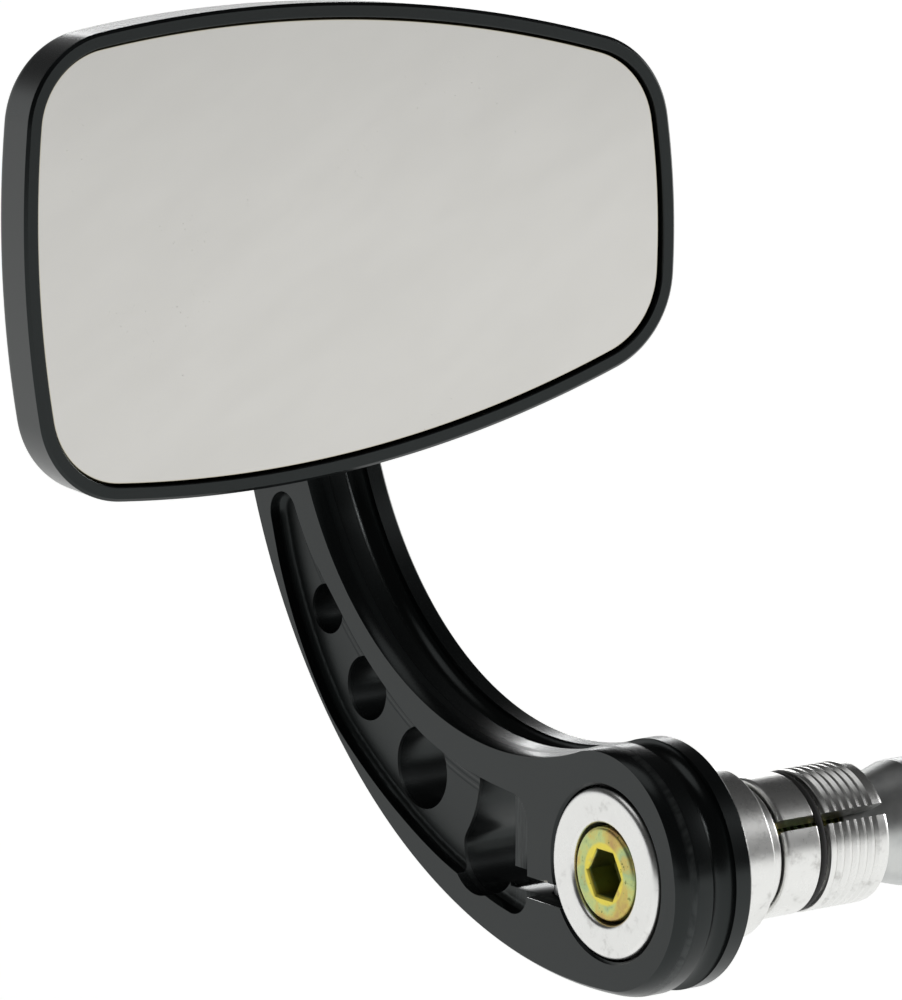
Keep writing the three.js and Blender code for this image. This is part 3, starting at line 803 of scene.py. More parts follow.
class Bench:
    """Makes meshes out of grids, cuts them and gives them their finish."""

    @staticmethod
    def mesh(name: str, grid: Array, closed_rows: bool = False, caps: bool = False) -> bpy.types.Object:
        """Skins a grid whose columns go round.

        Vertex i of row r joins vertex i + 1 of the same row and both of the next row. Rows that shrink to a
        point are merged there.

        Args:
            name: Name of the piece.
            grid: A (rows, columns, 3) array in millimetres.
            closed_rows: Whether the last row joins the first.
            caps: Whether the first and last rows are filled with a flat face.

        Returns:
            The new object, with its place in its mesh.
        """
        rows, columns = grid.shape[:2]
        index = np.arange(rows * columns).reshape(rows, columns)
        here = index if closed_rows else index[:-1]
        above = np.roll(index, -1, axis=0) if closed_rows else index[1:]
        quads = np.stack([here, np.roll(here, -1, axis=1), np.roll(above, -1, axis=1), above], axis=-1)
        faces = quads.reshape(-1, 4).tolist()
        if caps:
            faces += [index[0][::-1].tolist(), index[-1].tolist()]
        return Bench.finish(name, grid.reshape(-1, 3), faces)

    @staticmethod
    def finish(name: str, points: Array, faces: list) -> bpy.types.Object:
        """Puts points and faces into a mesh, merges doubles and turns the faces outward.

        Args:
            name: Name of the piece.
            points: An (n, 3) array in millimetres.
            faces: Lists of vertex numbers.

        Returns:
            The new object.
        """
        data = bpy.data.meshes.new(name)
        data.from_pydata((points * MM).tolist(), [], faces)
        work = bmesh.new()
        work.from_mesh(data)
        bmesh.ops.remove_doubles(work, verts=work.verts, dist=2e-7)
        bmesh.ops.recalc_face_normals(work, faces=work.faces)
        work.to_mesh(data)
        work.free()
        piece = bpy.data.objects.new(name, data)
        bpy.context.scene.collection.objects.link(piece)
        return piece

    @staticmethod
    def cut(piece: bpy.types.Object, tools: Iterable[bpy.types.Object]) -> bpy.types.Object:
        """Takes closed tools away from a piece.

        Args:
            piece: The piece, which gets the new mesh.
            tools: The tools, which are removed afterwards.

        Returns:
            The piece.
        """
        tools = list(tools)
        for tool in tools:
            step = piece.modifiers.new(tool.name, "BOOLEAN")
            step.operation = "DIFFERENCE"
            step.solver = "EXACT"
            step.object = tool
        bpy.context.view_layer.update()
        result = bpy.data.meshes.new_from_object(piece.evaluated_get(bpy.context.evaluated_depsgraph_get()))
        piece.modifiers.clear()
        piece.data = result
        result.name = piece.name
        for tool in tools:
            bpy.data.objects.remove(tool)
        return piece

    @staticmethod
    def dress(piece: bpy.types.Object, finish: Finish, body: str, smoothing: Smoothing,
              stands_for: Sequence[str]) -> None:
        """Gives a piece its finish, its shading, its body and the nodes that it stands for.

        Args:
            piece: The piece.
            finish: Its finish.
            body: The body that carries it.
            smoothing: How its faces meet.
            stands_for: CAD nodes that it replaces.
        """
        piece.data.materials.clear()
        piece.data.materials.append(finish.material())
        piece.data.shade_smooth()
        piece.data.set_sharp_from_angle(angle=math.radians(smoothing.value))
        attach(piece, body)
        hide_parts(*stands_for)
        LOG.info("%s: %d faces on %s, %s", piece.name, len(piece.data.polygons), body, finish.slot)

    @staticmethod
    def repaint(node: str, finish: Finish) -> None:
        """Gives a CAD node that stays a better material.

        Args:
            node: The node's name.
            finish: Its finish.
        """
        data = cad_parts[node].data
        data.materials.clear()
        data.materials.append(finish.material())
        LOG.info("%s: CAD node, %s", node, finish.slot)


# ------------------------------------------------------------------ repeated hardware
@dataclass(frozen=True)
class SocketScrew:
    """A cap screw with a hexagon socket; heights run from the top of the head towards the tip."""

    name: str
    seat: Placement
    head_r: float
    head_height: float
    shank_r: float
    length: float
    flats: float
    socket_depth: float
    thread_from: float
    pitch: float
    phase: float = 0.0
    columns: int = 96

    def build(self) -> bpy.types.Object:
        """Rows from the socket's floor, over the head, down the shank and along the thread to the tip.

        Returns:
            The screw.
        """
        hexa = hexagon(self.columns, self.flats, self.phase)
        mouth = 0.06 * self.flats
        rows = [
            (0.0, self.socket_depth + 0.25 * self.flats),
            (0.97 * hexa, self.socket_depth),
            (hexa, self.socket_depth - 0.05),
            (hexa, mouth + 0.05),
            (hexa, mouth),
            (hexa + 0.3 * mouth, 0.4 * mouth),
            (hexa + mouth, 0.0),
            (hexa + mouth + 0.05, 0.0),
        ]
        edge = 0.10 * self.head_r
        bottom = self.head_height + self.length
        outside = rounded([
            (0.0, self.head_r - 2.4 * edge), (0.0, self.head_r, edge), (self.head_height, self.head_r, 0.15),
            (self.head_height, self.shank_r, 0.2), (self.thread_from, self.shank_r),
        ])
        tip = [(bottom - 0.12 * self.shank_r, 0.98 * self.shank_r - 0.25 * self.pitch),
               (bottom, 0.80 * self.shank_r), (bottom, 0.0)]
        end = tip[0][0] - 0.2 * self.pitch
        grid = np.concatenate([
            ringed(rows, self.columns),
            turned(outside, self.columns),
            threaded(self.thread_from + 0.05, end, self.shank_r, self.pitch, self.columns),
            turned(np.array(tip), self.columns),
        ])
        return Bench.mesh(self.name, self.seat.put(grid))


# ------------------------------------------------------------------ bar-end clamp
@dataclass
class BarClamp:
    """The bushing that carries the arm, and the expander that grips inside the handlebar."""

    front: float = -20.45
    shoulder: float = -9.0
    bushing_r: float = 11.75
    spigot_r: float = 9.2
    spigot: float = 3.0
    mouth_r: float = 7.0
    screw_r: float = 4.0
    screw_top: float = -20.3
    jaw_end: float = 21.0
    jaw_r: float = 9.8
    jaw_bore: float = 5.0
    jaw_cut: float = 0.8
    jaws: int = 3
    groove_x: float = 10.0
    groove_r: float = 8.3
    cone_start: float = 17.0
    cone_end: float = 29.0
    cone_small: float = 5.3
    cone_large: float = 8.7
    nut_end: float = 36.0
    finish: Finish = field(default_factory=TurnedAluminium)

    def bushing(self) -> None:
        """Turned bushing: a closed profile with a rounded mouth and a broad rounded rim."""
        bore = self.screw_r + 0.4
        profile = rounded([
            (self.shoulder, bore, 0.3), (self.shoulder, self.mouth_r, 0.2), (self.front, self.mouth_r, 0.75),
            (self.front, self.bushing_r, 0.95), (0.0, self.bushing_r, 0.35), (0.0, self.spigot_r, 0.15),
            (self.spigot, self.spigot_r, 0.4), (self.spigot, bore, 0.3),
        ], closed=True, steps=9)
        piece = Bench.mesh("bushing", BAR.put(turned(profile, 160)), closed_rows=True)
        Bench.dress(piece, self.finish, "bar_clamp", Smoothing.TURNED, ["bar_end_bushing"])

    def clamp_screw(self) -> None:
        """Long screw that draws the cone into the jaws."""
        seat = Placement((self.screw_top, 0, 0), (0, 1, 0), (0, 0, 1), (1, 0, 0))
        screw = SocketScrew(
            "clamp_screw_fine", seat, head_r=6.5, head_height=9.0, shank_r=self.screw_r, length=50.0,
            flats=6.3, socket_depth=4.5, thread_from=27.0, pitch=1.25)
        Bench.dress(screw.build(), YellowZinc(), "clamp_screw", Smoothing.TURNED, ["clamp_screw"])

    def lock_washer(self) -> None:
        """Split spring washer: a small rounded section carried round all but a narrow gap."""
        section = rounded([(-11.0, 4.35, 0.2), (-11.0, 6.3, 0.2), (-9.3, 6.3, 0.2), (-9.3, 4.35, 0.2)],
                          closed=True, steps=4)
        grid = self.sector(section, np.full(len(section), math.pi - 0.11), -math.pi / 2, 90)
        piece = Bench.mesh("spring_washer", BAR.put(grid), caps=True)
        Bench.dress(piece, ZincPlate(), "bar_clamp", Smoothing.TURNED, ["lock_washer"])

    @staticmethod
    def sector(section: Array, half_angle: Array, middle: float, steps: int) -> Array:
        """Closed section of (height, radius) swept through an angle that may differ from point to point.

        Args:
            section: The section.
            half_angle: How far each of its points goes either way.
            middle: Angle of the sector's middle.
            steps: Sections along the way.

        Returns:
            A (steps, points, 3) grid.
        """
        share = np.linspace(-1, 1, steps)[:, None]
        angle = middle + share * half_angle[None]
        radius, height = section[:, 1][None], np.broadcast_to(section[:, 0], angle.shape)
        return np.stack([radius * np.cos(angle), radius * np.sin(angle), height], axis=2)

    def collet(self) -> None:
        """Jaws: a grooved sleeve whose bore opens to a cone, split by cuts with parallel sides."""
        start = self.spigot + GAP
        slope = (self.cone_large - self.cone_small) / (self.cone_end - self.cone_start)
        cone_in = self.cone_start + (self.jaw_bore - 0.4 - self.cone_small) / slope
        cone_out = self.cone_small + slope * (self.jaw_end - self.cone_start) + 0.4
        teeth = []
        for crest in np.arange(self.groove_x + 2.2, self.jaw_end - 1.2, 1.3):
            teeth += [(crest - 0.45, self.jaw_r, 0.05), (crest, self.jaw_r - 0.35, 0.05),
                      (crest + 0.45, self.jaw_r, 0.05)]
        section = rounded([
            (start, self.jaw_bore, 0.2), (start, self.jaw_r, 0.5), (self.groove_x - 0.9, self.jaw_r, 0.15),
            (self.groove_x - 0.9, self.groove_r, 0.3), (self.groove_x + 0.9, self.groove_r, 0.3),
            (self.groove_x + 0.9, self.jaw_r, 0.15), *teeth, (self.jaw_end, self.jaw_r, 0.5),
            (self.jaw_end, cone_out, 0.15), (cone_in, self.jaw_bore, 0.3),
        ], closed=True, steps=4)
        half = math.pi / self.jaws - np.arcsin(self.jaw_cut / section[:, 1])
        for i in range(self.jaws):
            middle = math.pi / 2 + i * 2 * math.pi / self.jaws
            grid = self.sector(section, half, middle, 40)
            piece = Bench.mesh(f"jaw_{i + 1}_fine", BAR.put(grid), caps=True)
            Bench.dress(piece, self.finish, f"jaw_{i + 1}", Smoothing.TURNED, [f"collet_jaw_{i + 1}"])

    def cone_nut(self) -> None:
        """Cone with a short straight end, turned about the bar."""
        bore = self.screw_r + 0.35
        profile = rounded([
            (self.cone_start, bore, 0.3), (self.cone_start, self.cone_small, 0.2),
            (self.cone_end, self.cone_large, 0.8), (self.nut_end, self.cone_large, 0.6),
            (self.nut_end, bore, 0.5),
        ], closed=True)
        piece = Bench.mesh("cone_nut_fine", BAR.put(turned(profile, 120)), closed_rows=True)
        Bench.dress(piece, ZincPlate(), "cone_nut", Smoothing.TURNED, ["cone_nut"])

    def garter(self) -> None:
        """Rubber ring that holds the jaws together: a small circle turned about the bar."""
        angle = np.linspace(0, 2 * math.pi, 18, endpoint=False)
        profile = np.stack([self.groove_x + 0.5 * np.cos(angle), 9.15 + 0.5 * np.sin(angle)], axis=1)
        piece = Bench.mesh("garter_fine", BAR.put(turned(profile, 120)), closed_rows=True)
        Bench.dress(piece, BlackRubber(), "bar_clamp", Smoothing.MOULDED, ["garter_ring"])

    def build(self) -> None:
        """Builds every piece of the clamp."""
        self.bushing()
        self.clamp_screw()
        self.lock_washer()
        self.collet()
        self.cone_nut()
        self.garter()


# ------------------------------------------------------------------ arm
@dataclass
class Arm:
    """The curved arm, its pinch screw, and the ball stud bolted through its upper end."""

    front: float = -20.0
    thick: float = 12.0
    boss_r: float = 17.2
    void: tuple[float, float, float] = (23.0, 61.0, 48.0)
    sweep: tuple[float, float, float] = (5.6, 62.0, 79.45)
    rise_r: float = 88.0
    rise_angle: float = -0.843
    rise_end: float = -0.27
    lean: tuple[float, float] = (0.38, 0.925)
    seat_land: float = 79.0
    seat: float = 80.8
    nut_seat: float = 91.6
    back: float = 93.0
    top: float = 88.0
    corner: float = 6.0
    bevel_depth: float = 3.0
    bevel_neck: float = 0.3
    bevel_boss: float = 1.7
    bevel_outer: float = 1.1
    bevel_top: float = 1.6
    bevel_angles: tuple[float, float] = (0.38, 1.345)
    groove: tuple[float, float, float] = (5.2, 9.1, 1.7)
    rear_land: float = 11.5
    pocket_depth: float = 2.2
    pocket_fillet: float = 1.1
    bore_r: float = 12.1
    ball: tuple[float, float, float] = (-14.0, 70.02, 77.43)
    ball_r: float = 6.35
    stud_r: float = 3.9
    stud_end: float = 102.5
    pinch_y: float = 16.6
    pinch_low: float = -16.4
    break_edge: float = 0.14
    track_centre: tuple[float, float] = (17.48, 69.54)
    track_r: float = 62.8
    round_holes: tuple[tuple[float, float, float], ...] = ((67.0, 23.8, 3.5), (57.8, 14.3, 4.5),
                                                           (44.9, 5.6, 5.75))
    slot_low: float = -6.9
    slot_high: float = -3.9
    slot_end: float = 24.5

    def outline(self, count: int = 860) -> tuple[Array, Array]:
        """Widest outline of the arm and the width of its front bevel, from tangent arcs.

        Returns:
            An anticlockwise loop in the Y-Z plane, and the bevel's width at each point.
        """
        vy, vz, vr = self.void
        sy, sz, sr = self.sweep
        lean_y, lean_z = self.lean
        ry = sy + (sr - self.rise_r) * math.cos(self.rise_angle)
        rz = sz + (sr - self.rise_r) * math.sin(self.rise_angle)
        lean_angle = math.atan2(-lean_y, lean_z)
        neck = math.atan2(vz, vy)
        tail = math.atan2(-sz, -sy)
        seat_bend, back_bend = 6.0, 40.0
        line_y, line_z = vy + vr * lean_z, vz - vr * lean_y
        bend_y = self.seat_land - seat_bend
        bend_z = line_z + (bend_y + seat_bend * lean_z - line_y) * (lean_z / lean_y) + seat_bend * lean_y
        tip_y = ry + self.rise_r * math.cos(self.rise_end)
        tip_z = rz + self.rise_r * math.sin(self.rise_end)
        back_y = self.back - back_bend
        back_z = (tip_z + (back_y + back_bend * math.cos(self.rise_end) - tip_y) / -math.tan(self.rise_end)
                  - back_bend * math.sin(self.rise_end))
        n, b, o, t = self.bevel_neck, self.bevel_boss, self.bevel_outer, self.bevel_top
        c = self.corner
        spans = [
            (arc(back_y, back_z, back_bend, self.rise_end, 0, 40), o, o),
            (arc(self.back - c, self.top - c, c, 0, math.pi / 2, 30), o, o),
            (arc(self.seat_land + c, self.top - c, c, math.pi / 2, math.pi, 30), o, o),
            (arc(bend_y, bend_z, seat_bend, 0, lean_angle, 16), t, t),
            (arc(vy, vz, vr, lean_angle, neck - math.pi, 260), t, n),
            (arc(0, 0, self.boss_r, neck, math.pi - 0.2, 120), n, b),
            (arc(0, 0, self.boss_r, math.pi - 0.2, tail + 2 * math.pi, 120), b, o),
            (arc(sy, sz, sr, tail, self.rise_angle, 200), o, o),
            (arc(ry, rz, self.rise_r, self.rise_angle, self.rise_end, 140), o, o),
        ]
        points = np.vstack([run for run, _, _ in spans])
        widths = np.concatenate([np.linspace(start, end, len(run)) for run, start, end in spans])
        return even_loop(points, widths, count)

    def blank(self) -> bpy.types.Object:
        """Uncut arm: the outline carried through the edge's section.

        The section is a bevel of constant curvature, a land, an elliptical groove, a second land and a small
        chamfer; only the bevel's width changes along the outline.

        Returns:
            The blank.
        """
        loop, widths = self.outline()
        a0, a1 = self.bevel_angles
        angle = np.linspace(a0, a1, 12)
        depth = self.bevel_depth * (math.cos(a0) - np.cos(angle)) / (math.cos(a0) - math.cos(a1))
        share = (math.sin(a1) - np.sin(angle)) / (math.sin(a1) - math.sin(a0))
        start, end, dip = self.groove
        turn = np.linspace(0, math.pi, 34)
        hollow = start + (end - start) * (1 - np.cos(turn)) / 2
        depths = np.concatenate([depth, hollow, [self.rear_land, self.thick]])
        insets = np.zeros((len(depths), len(loop)))
        insets[:len(angle)] = share[:, None] * widths[None]
        insets[len(angle):len(angle) + len(turn)] = (dip * np.sin(turn))[:, None]
        insets[-1] = 0.5
        grid = stacked(loop, np.concatenate([depths[:, None], -insets], axis=1))
        place = Placement((self.front, 0, 0), (0, 1, 0), (0, 0, 1), (1, 0, 0))
        return Bench.mesh("arm_fine", place.put(grid), caps=True)

    def pocket_loop(self) -> Array:
        """Outline of the milled pocket, between its outer and inner edges.

        Returns:
            An anticlockwise loop.
        """
        outer = [[77.2, 34.9], [74.9, 28], [71.3, 20.6], [66.6, 13.6], [61.2, 7.9], [50.7, 0.8], [38.9, -5],
                 [27.2, -8.6], [21.5, -9.8]]
        inner = [[71.5, 37.2], [68.3, 32.2], [64.1, 27.9], [55.4, 19.7], [44.8, 12.6], [36.6, 9.4],
                 [28.9, 7.8], [21.6, 7]]
        end, r = 17.8, 3.5
        loop = np.vstack([
            smooth_run(inner, 14), arc(end + r, 7 - r, r, math.pi / 2, math.pi, 12),
            arc(end + r, -9.8 + r, r, math.pi, 1.5 * math.pi, 12), smooth_run(outer[::-1], 14),
            arc(74.4, 36.2, 3.05, -0.3, 2.58, 24),
        ])
        loop = anticlockwise(loop)
        return even_loop(loop, np.zeros(len(loop)), 420)[0]

    def web_loop(self) -> Array:
        """Outline of the largest lightening hole: round below, straight at the clamp, bowed at the web.

        Returns:
            An anticlockwise loop.
        """
        loop = np.vstack([
            arc(29.3, -3, 5.9, math.pi, 2 * math.pi, 40),
            smooth_run([[35.2, -3], [34.9, -1.9], [33.6, 0.2], [32.6, 2.2], [32.0, 4.2], [31.6, 6.2]], 8),
            [[31.5, 8.1], [28.9, 7.6]],
            arc(25.4, 5.3, 2.0, math.pi / 2, math.pi, 12),
        ])
        loop = anticlockwise(loop)
        return even_loop(loop, np.zeros(len(loop)), 200)[0]

    def tools(self) -> list[bpy.types.Object]:
        """Cutters for the pocket, the holes, the bore, the slot and both ends' seats.

        Returns:
            Closed objects.
        """
        face, back, e = self.front, self.front + self.thick, self.break_edge
        r, deep = self.pocket_fillet, self.pocket_depth
        bend = np.linspace(0, math.pi / 2, 10)
        pocket = np.vstack([
            [(face - 1, 0.05), (face, 0.05), (face + 0.05, 0.0)],
            np.stack([face + deep - r + r * np.sin(bend), -r + r * np.cos(bend)], axis=1),
        ])
        through = np.array([(face - 1, 0.0), (face + deep - 0.02, 0.0), (back - e, 0.0), (back, e),
                            (back + 1, e)])
        found = [
            Bench.mesh("pocket_tool", BAR.put(stacked(self.pocket_loop(), pocket)), caps=True),
            Bench.mesh("web_tool", BAR.put(stacked(self.web_loop(), through)), caps=True),
        ]
        for i, (y, z, radius) in enumerate(self.round_holes):
            profile = np.array([(face - 1, 0), (face - 1, radius), (back - e, radius), (back, radius + e),
                                (back + 1, radius + e), (back + 1, 0)])
            place = Placement((0, y, z), (0, 1, 0), (0, 0, 1), (1, 0, 0))
            found.append(Bench.mesh(f"hole_tool_{i}", place.put(turned(profile, 72))))
        for i, offset in enumerate((1.25, 2.2, 3.15)):
            found.append(self.pass_tool(f"pass_tool_{i}", self.track_r + offset, 0.07 - 0.012 * i))
        bore = self.bore_r
        profile = np.array([(face - 1, 0), (face - 1, bore + 0.35), (face, bore + 0.35), (face + 0.35, bore),
                            (back - 0.3, bore), (back, bore + 0.3), (back + 1, bore + 0.3), (back + 1, 0)])
        found.append(Bench.mesh("bore_tool", BAR.put(turned(profile, 160))))
        slot = np.array([[bore - 2, self.slot_low], [self.slot_end, self.slot_low],
                         [self.slot_end, self.slot_high], [bore - 2, self.slot_high]])
        cut = stacked(slot, np.array([(face - 1, 0), (back + 1, 0)]))
        found.append(Bench.mesh("slot_tool", BAR.put(cut), caps=True))
        x, _, z = self.ball
        stud = Placement((x, 0, z), (0, 0, 1), (1, 0, 0), (0, 1, 0))
        seat = np.array([(self.seat_land - 4, 0), (self.seat_land - 4, 7), (self.seat, 7), (self.seat, 4.25),
                         (self.nut_seat, 4.25), (self.nut_seat, 7.6), (self.back + 3, 7.6),
                         (self.back + 3, 0)])
        found.append(Bench.mesh("stud_tool", stud.put(turned(seat, 96))))
        head = self.pinch_low + 4
        pinch = Placement((x, self.pinch_y, 0), (1, 0, 0), (0, 1, 0), (0, 0, 1))
        hole = np.array([(-22, 0), (-22, 3.9), (head, 3.9), (head, 2.2), (7.3, 2.2), (7.3, 0)])
        found.append(Bench.mesh("pinch_tool", pinch.put(turned(hole, 72))))
        return found

    def pass_tool(self, name: str, radius: float, depth: float) -> bpy.types.Object:
        """Track of a small ball cutter along the pocket: a circle carried along an arc.

        Args:
            name: Name of the tool.
            radius: Radius of the arc.
            depth: How far it bites below the pocket's floor.

        Returns:
            The tool.
        """
        ball = 1.0
        along = np.linspace(-1.44, -0.60, 90)[:, None]
        around = np.linspace(0, 2 * math.pi, 48, endpoint=False)[None]
        reach = radius + ball * np.cos(around)
        x = self.front + self.pocket_depth + depth - ball + ball * np.sin(around)
        y, z = self.track_centre
        grid = np.stack([np.broadcast_to(x, (len(along), around.size)),
                         y + reach * np.cos(along), z + reach * np.sin(along)], axis=2)
        return Bench.mesh(name, grid, caps=True)

    def stud(self) -> None:
        """Ball stud: a profile of ball, neck, flange and shank, with a thread that ends the shank."""
        x, y, z = self.ball
        place = Placement((x, y, z), (0, 0, 1), (1, 0, 0), (0, 1, 0))
        neck_r = 2.4
        angle = np.linspace(math.pi, math.asin(neck_r / self.ball_r), 40)
        sphere = np.stack([self.ball_r * np.cos(angle), self.ball_r * np.sin(angle)], axis=1)
        seat = self.seat - GAP - y
        end = self.stud_end - y
        thread = self.nut_seat - y - 2
        shank = rounded([
            tuple(sphere[-1] + (0.05, 0)), (seat - 1.5, neck_r, 0.5), (seat - 1.5, 5.0, 0.3),
            (seat, 5.0, 0.3), (seat, self.stud_r, 0.1), (thread, self.stud_r),
        ])
        tip = np.array([(end - 0.9, 3.5), (end - 0.5, 3.3), (end, 2.9), (end, 0)])
        grid = np.concatenate([turned(sphere), turned(shank),
                               threaded(thread + 0.05, end - 1.1, self.stud_r, 1.25, 96), turned(tip)])
        piece = Bench.mesh("ball_stud_fine", place.put(grid))
        Bench.dress(piece, ZincPlate(), "ball_stud", Smoothing.TURNED, ["ball_stud"])

    def stud_nut(self) -> None:
        """Washer, and a nut whose corners are cut back by a cone."""
        x, _, z = self.ball
        bore, wide, thick = self.stud_r + 0.35, 7.2, 1.4
        start = self.nut_seat + GAP
        washer = rounded([(0, bore, 0.15), (0, wide, 0.25), (thick, wide, 0.35), (thick, bore, 0.15)],
                         closed=True)
        place = Placement((x, start, z), (0, 0, 1), (1, 0, 0), (0, 1, 0))
        piece = Bench.mesh("washer_fine", place.put(turned(washer)), closed_rows=True)
        Bench.dress(piece, ZincPlate(), "arm", Smoothing.TURNED, ["stud_washer"])
        columns, high, crown = 96, 6.0, 5.75
        hexa = hexagon(columns, 12.0, 0.0)
        drop = np.maximum(hexa - crown, 0) * 0.5
        rows = [
            (bore, 0.6), (bore + 0.45, 0.0), (bore + 0.6, 0.0), (crown - 0.1, 0.0), (crown, 0.0),
            (hexa - 0.03, drop), (hexa, drop + 0.05), (hexa, high - drop - 0.05), (hexa - 0.03, high - drop),
            (crown, high), (crown - 0.1, high), (bore + 0.6, high), (bore + 0.45, high), (bore, high - 0.6),
        ]
        place = Placement((x, start + thick + GAP, z), (0, 0, 1), (1, 0, 0), (0, 1, 0))
        piece = Bench.mesh("stud_nut_fine", place.put(ringed(rows, columns)), closed_rows=True)
        Bench.dress(piece, ZincPlate(), "stud_nut", Smoothing.TURNED, ["stud_nut"])

    def pinch_screw(self) -> None:
        """Small screw that closes the slot from below."""
        seat = Placement((self.ball[0], self.pinch_y, self.pinch_low), (1, 0, 0), (0, 1, 0), (0, 0, 1))
        screw = SocketScrew(
            "pinch_screw_fine", seat, head_r=3.5, head_height=3.7, shank_r=1.85, length=19.2, flats=3.0,
            socket_depth=2.4, thread_from=12.0, pitch=0.7, columns=72)
        Bench.dress(screw.build(), ZincPlate(), "pinch_screw", Smoothing.TURNED, ["pinch_screw"])

    def build(self) -> None:
        """Builds the arm and what is bolted to it."""
        arm = Bench.cut(self.blank(), self.tools())
        Bench.dress(arm, ArmAnodised(), "arm", Smoothing.MACHINED, ["arm"])
        self.pinch_screw()
        self.stud()
        self.stud_nut()


# ------------------------------------------------------------------ mirror head
@dataclass
class MirrorHead:
    """The shell, the glass and the socket, in a frame whose third axis is the glass's normal."""

    centre: tuple[float, float, float] = (-14.0, 70.02, 77.43)
    yaw: float = math.radians(4.36)
    pitch: float = math.radians(3.52)
    roll: float = math.radians(0.32)
    glass_face: float = 12.6
    glass_thick: float = 1.8
    glass_wide: float = 0.28
    rim_lift: float = 0.8
    rim_width: float = 2.53
    wall: float = 7.7
    taper: float = 0.46
    back: float = 3.2
    half: float = 49.4
    end_wide: float = 152.0
    end_narrow: float = 108.0
    crown_at: float = -19.0
    height: float = 30.64
    crown: float = 186.0
    corner_wide: float = 10.95
    corner_narrow: float = 11.83
    glass_centre: float = -5.23
    hub_r: float = 11.8
    hub_end: float = -3.0
    socket_r: float = 7.95
    ring_end: float = -6.2
    screw_circle: float = 9.55
    columns: int = 560

    @property
    def place(self) -> Placement:
        """The head's frame: its normal from yaw and pitch, then a turn about the normal."""
        normal = np.array([-math.sin(self.yaw) * math.cos(self.pitch),
                           -math.cos(self.yaw) * math.cos(self.pitch), math.sin(self.pitch)])
        level = np.array([math.cos(self.yaw), -math.sin(self.yaw), 0.0])
        right = level * math.cos(self.roll) + np.cross(normal, level) * math.sin(self.roll)
        return Placement(self.centre, tuple(right), tuple(np.cross(normal, right)), tuple(normal))

    def outline(self) -> Array:
        """Edge of the glass: two end arcs, two crowned sides and four corner arcs, all tangent.

        A corner's centre lies where the circles of the end and of the side meet, each less the corner's
        radius.

        Returns:
            An anticlockwise loop.
        """
        wide = np.array([self.end_wide - self.half, 0.0])
        narrow = np.array([self.half - self.end_narrow, 0.0])
        crown = np.array([self.crown_at, self.height - self.crown])

        def corner(end: Array, end_r: float, radius: float) -> Array:
            """Centre of the corner arc between an end and the crown."""
            ra, rb = end_r - radius, self.crown - radius
            gap = np.linalg.norm(crown - end)
            along = (ra * ra - rb * rb + gap * gap) / (2 * gap)
            side = math.sqrt(ra * ra - along * along)
            axis = (crown - end) / gap
            both = [end + axis * along + s * side * np.array([-axis[1], axis[0]]) for s in (1, -1)]
            return max(both, key=lambda p: p[1])

        def heading(end: Array, start: Array) -> float:
            """Direction from one point to another."""
            return math.atan2(end[1] - start[1], end[0] - start[0])

        near = corner(narrow, self.end_narrow, self.corner_narrow)
        far = corner(wide, self.end_wide, self.corner_wide)
        upper = np.vstack([
            arc(*narrow, self.end_narrow, 0, heading(near, narrow), 60),
            arc(*near, self.corner_narrow, heading(near, narrow), heading(near, crown), 60),
            arc(*crown, self.crown, heading(near, crown), heading(far, crown), 120),
            arc(*far, self.corner_wide, heading(far, crown), heading(far, wide), 60),
            arc(*wide, self.end_wide, heading(far, wide), math.pi, 60),
        ])
        loop = np.vstack([upper, upper[::-1] * (1, -1)])
        loop = anticlockwise(loop)
        return even_loop(loop, np.zeros(len(loop)), self.columns)[0] + (self.glass_centre, 0)

    def shell(self) -> None:
        """Shell as one skin of closed rows, from the recess's floor round the rim into the socket.

        The outer rows follow the glass's edge at an outset. On the back they pass linearly into circles about
        the hub, each point keeping its direction from the hub.
        """
        loop = self.outline()
        rim = self.glass_face + self.rim_lift
        floor = self.glass_face - self.glass_thick - 2 * GAP - 0.8
        rear = rim - self.wall
        section = rounded([
            (floor, 0.0), (floor, 0.5, 0.2), (rim, 0.5, 0.13), (rim, self.rim_width - 0.42, 0.06),
            (rim - 0.42, self.rim_width, 0.10), (rear, self.rim_width - self.taper, 1.3),
            (self.back + 1.0, -0.4, 1.5), (self.back, -9.0, 4.0), (self.back, -10.0),
        ], steps=8)
        outer = stacked(loop, section)
        middle = np.broadcast_to(np.array([self.glass_centre, 0.0, floor]), (1, len(loop), 3))
        angle = np.arctan2(loop[:, 1], loop[:, 0])
        hub = rounded([
            (self.back, self.hub_r + 3.0), (self.back, self.hub_r, 1.6), (self.hub_end, self.hub_r, 0.3),
            (self.hub_end, self.socket_r, 0.25), (0.0, self.socket_r),
        ], steps=8)
        swing = np.linspace(0, math.pi / 2, 14)[1:]
        dome = np.stack([self.socket_r * np.sin(swing), self.socket_r * np.cos(swing)], axis=1)
        rings = np.vstack([hub, dome])
        inner = np.stack([rings[:, 1:] * np.cos(angle), rings[:, 1:] * np.sin(angle),
                          np.broadcast_to(rings[:, :1], (len(rings), len(angle)))], axis=2)
        share = np.linspace(0, 1, 9)[1:-1, None, None]
        bridge = outer[-1][None] * (1 - share) + inner[0][None] * share
        skin = np.concatenate([middle, outer, bridge, inner])
        piece = Bench.mesh("mirror_shell_fine", self.place.put(skin))
        Bench.dress(piece, BlackAnodised(), "head", Smoothing.TURNED, ["mirror_shell"])

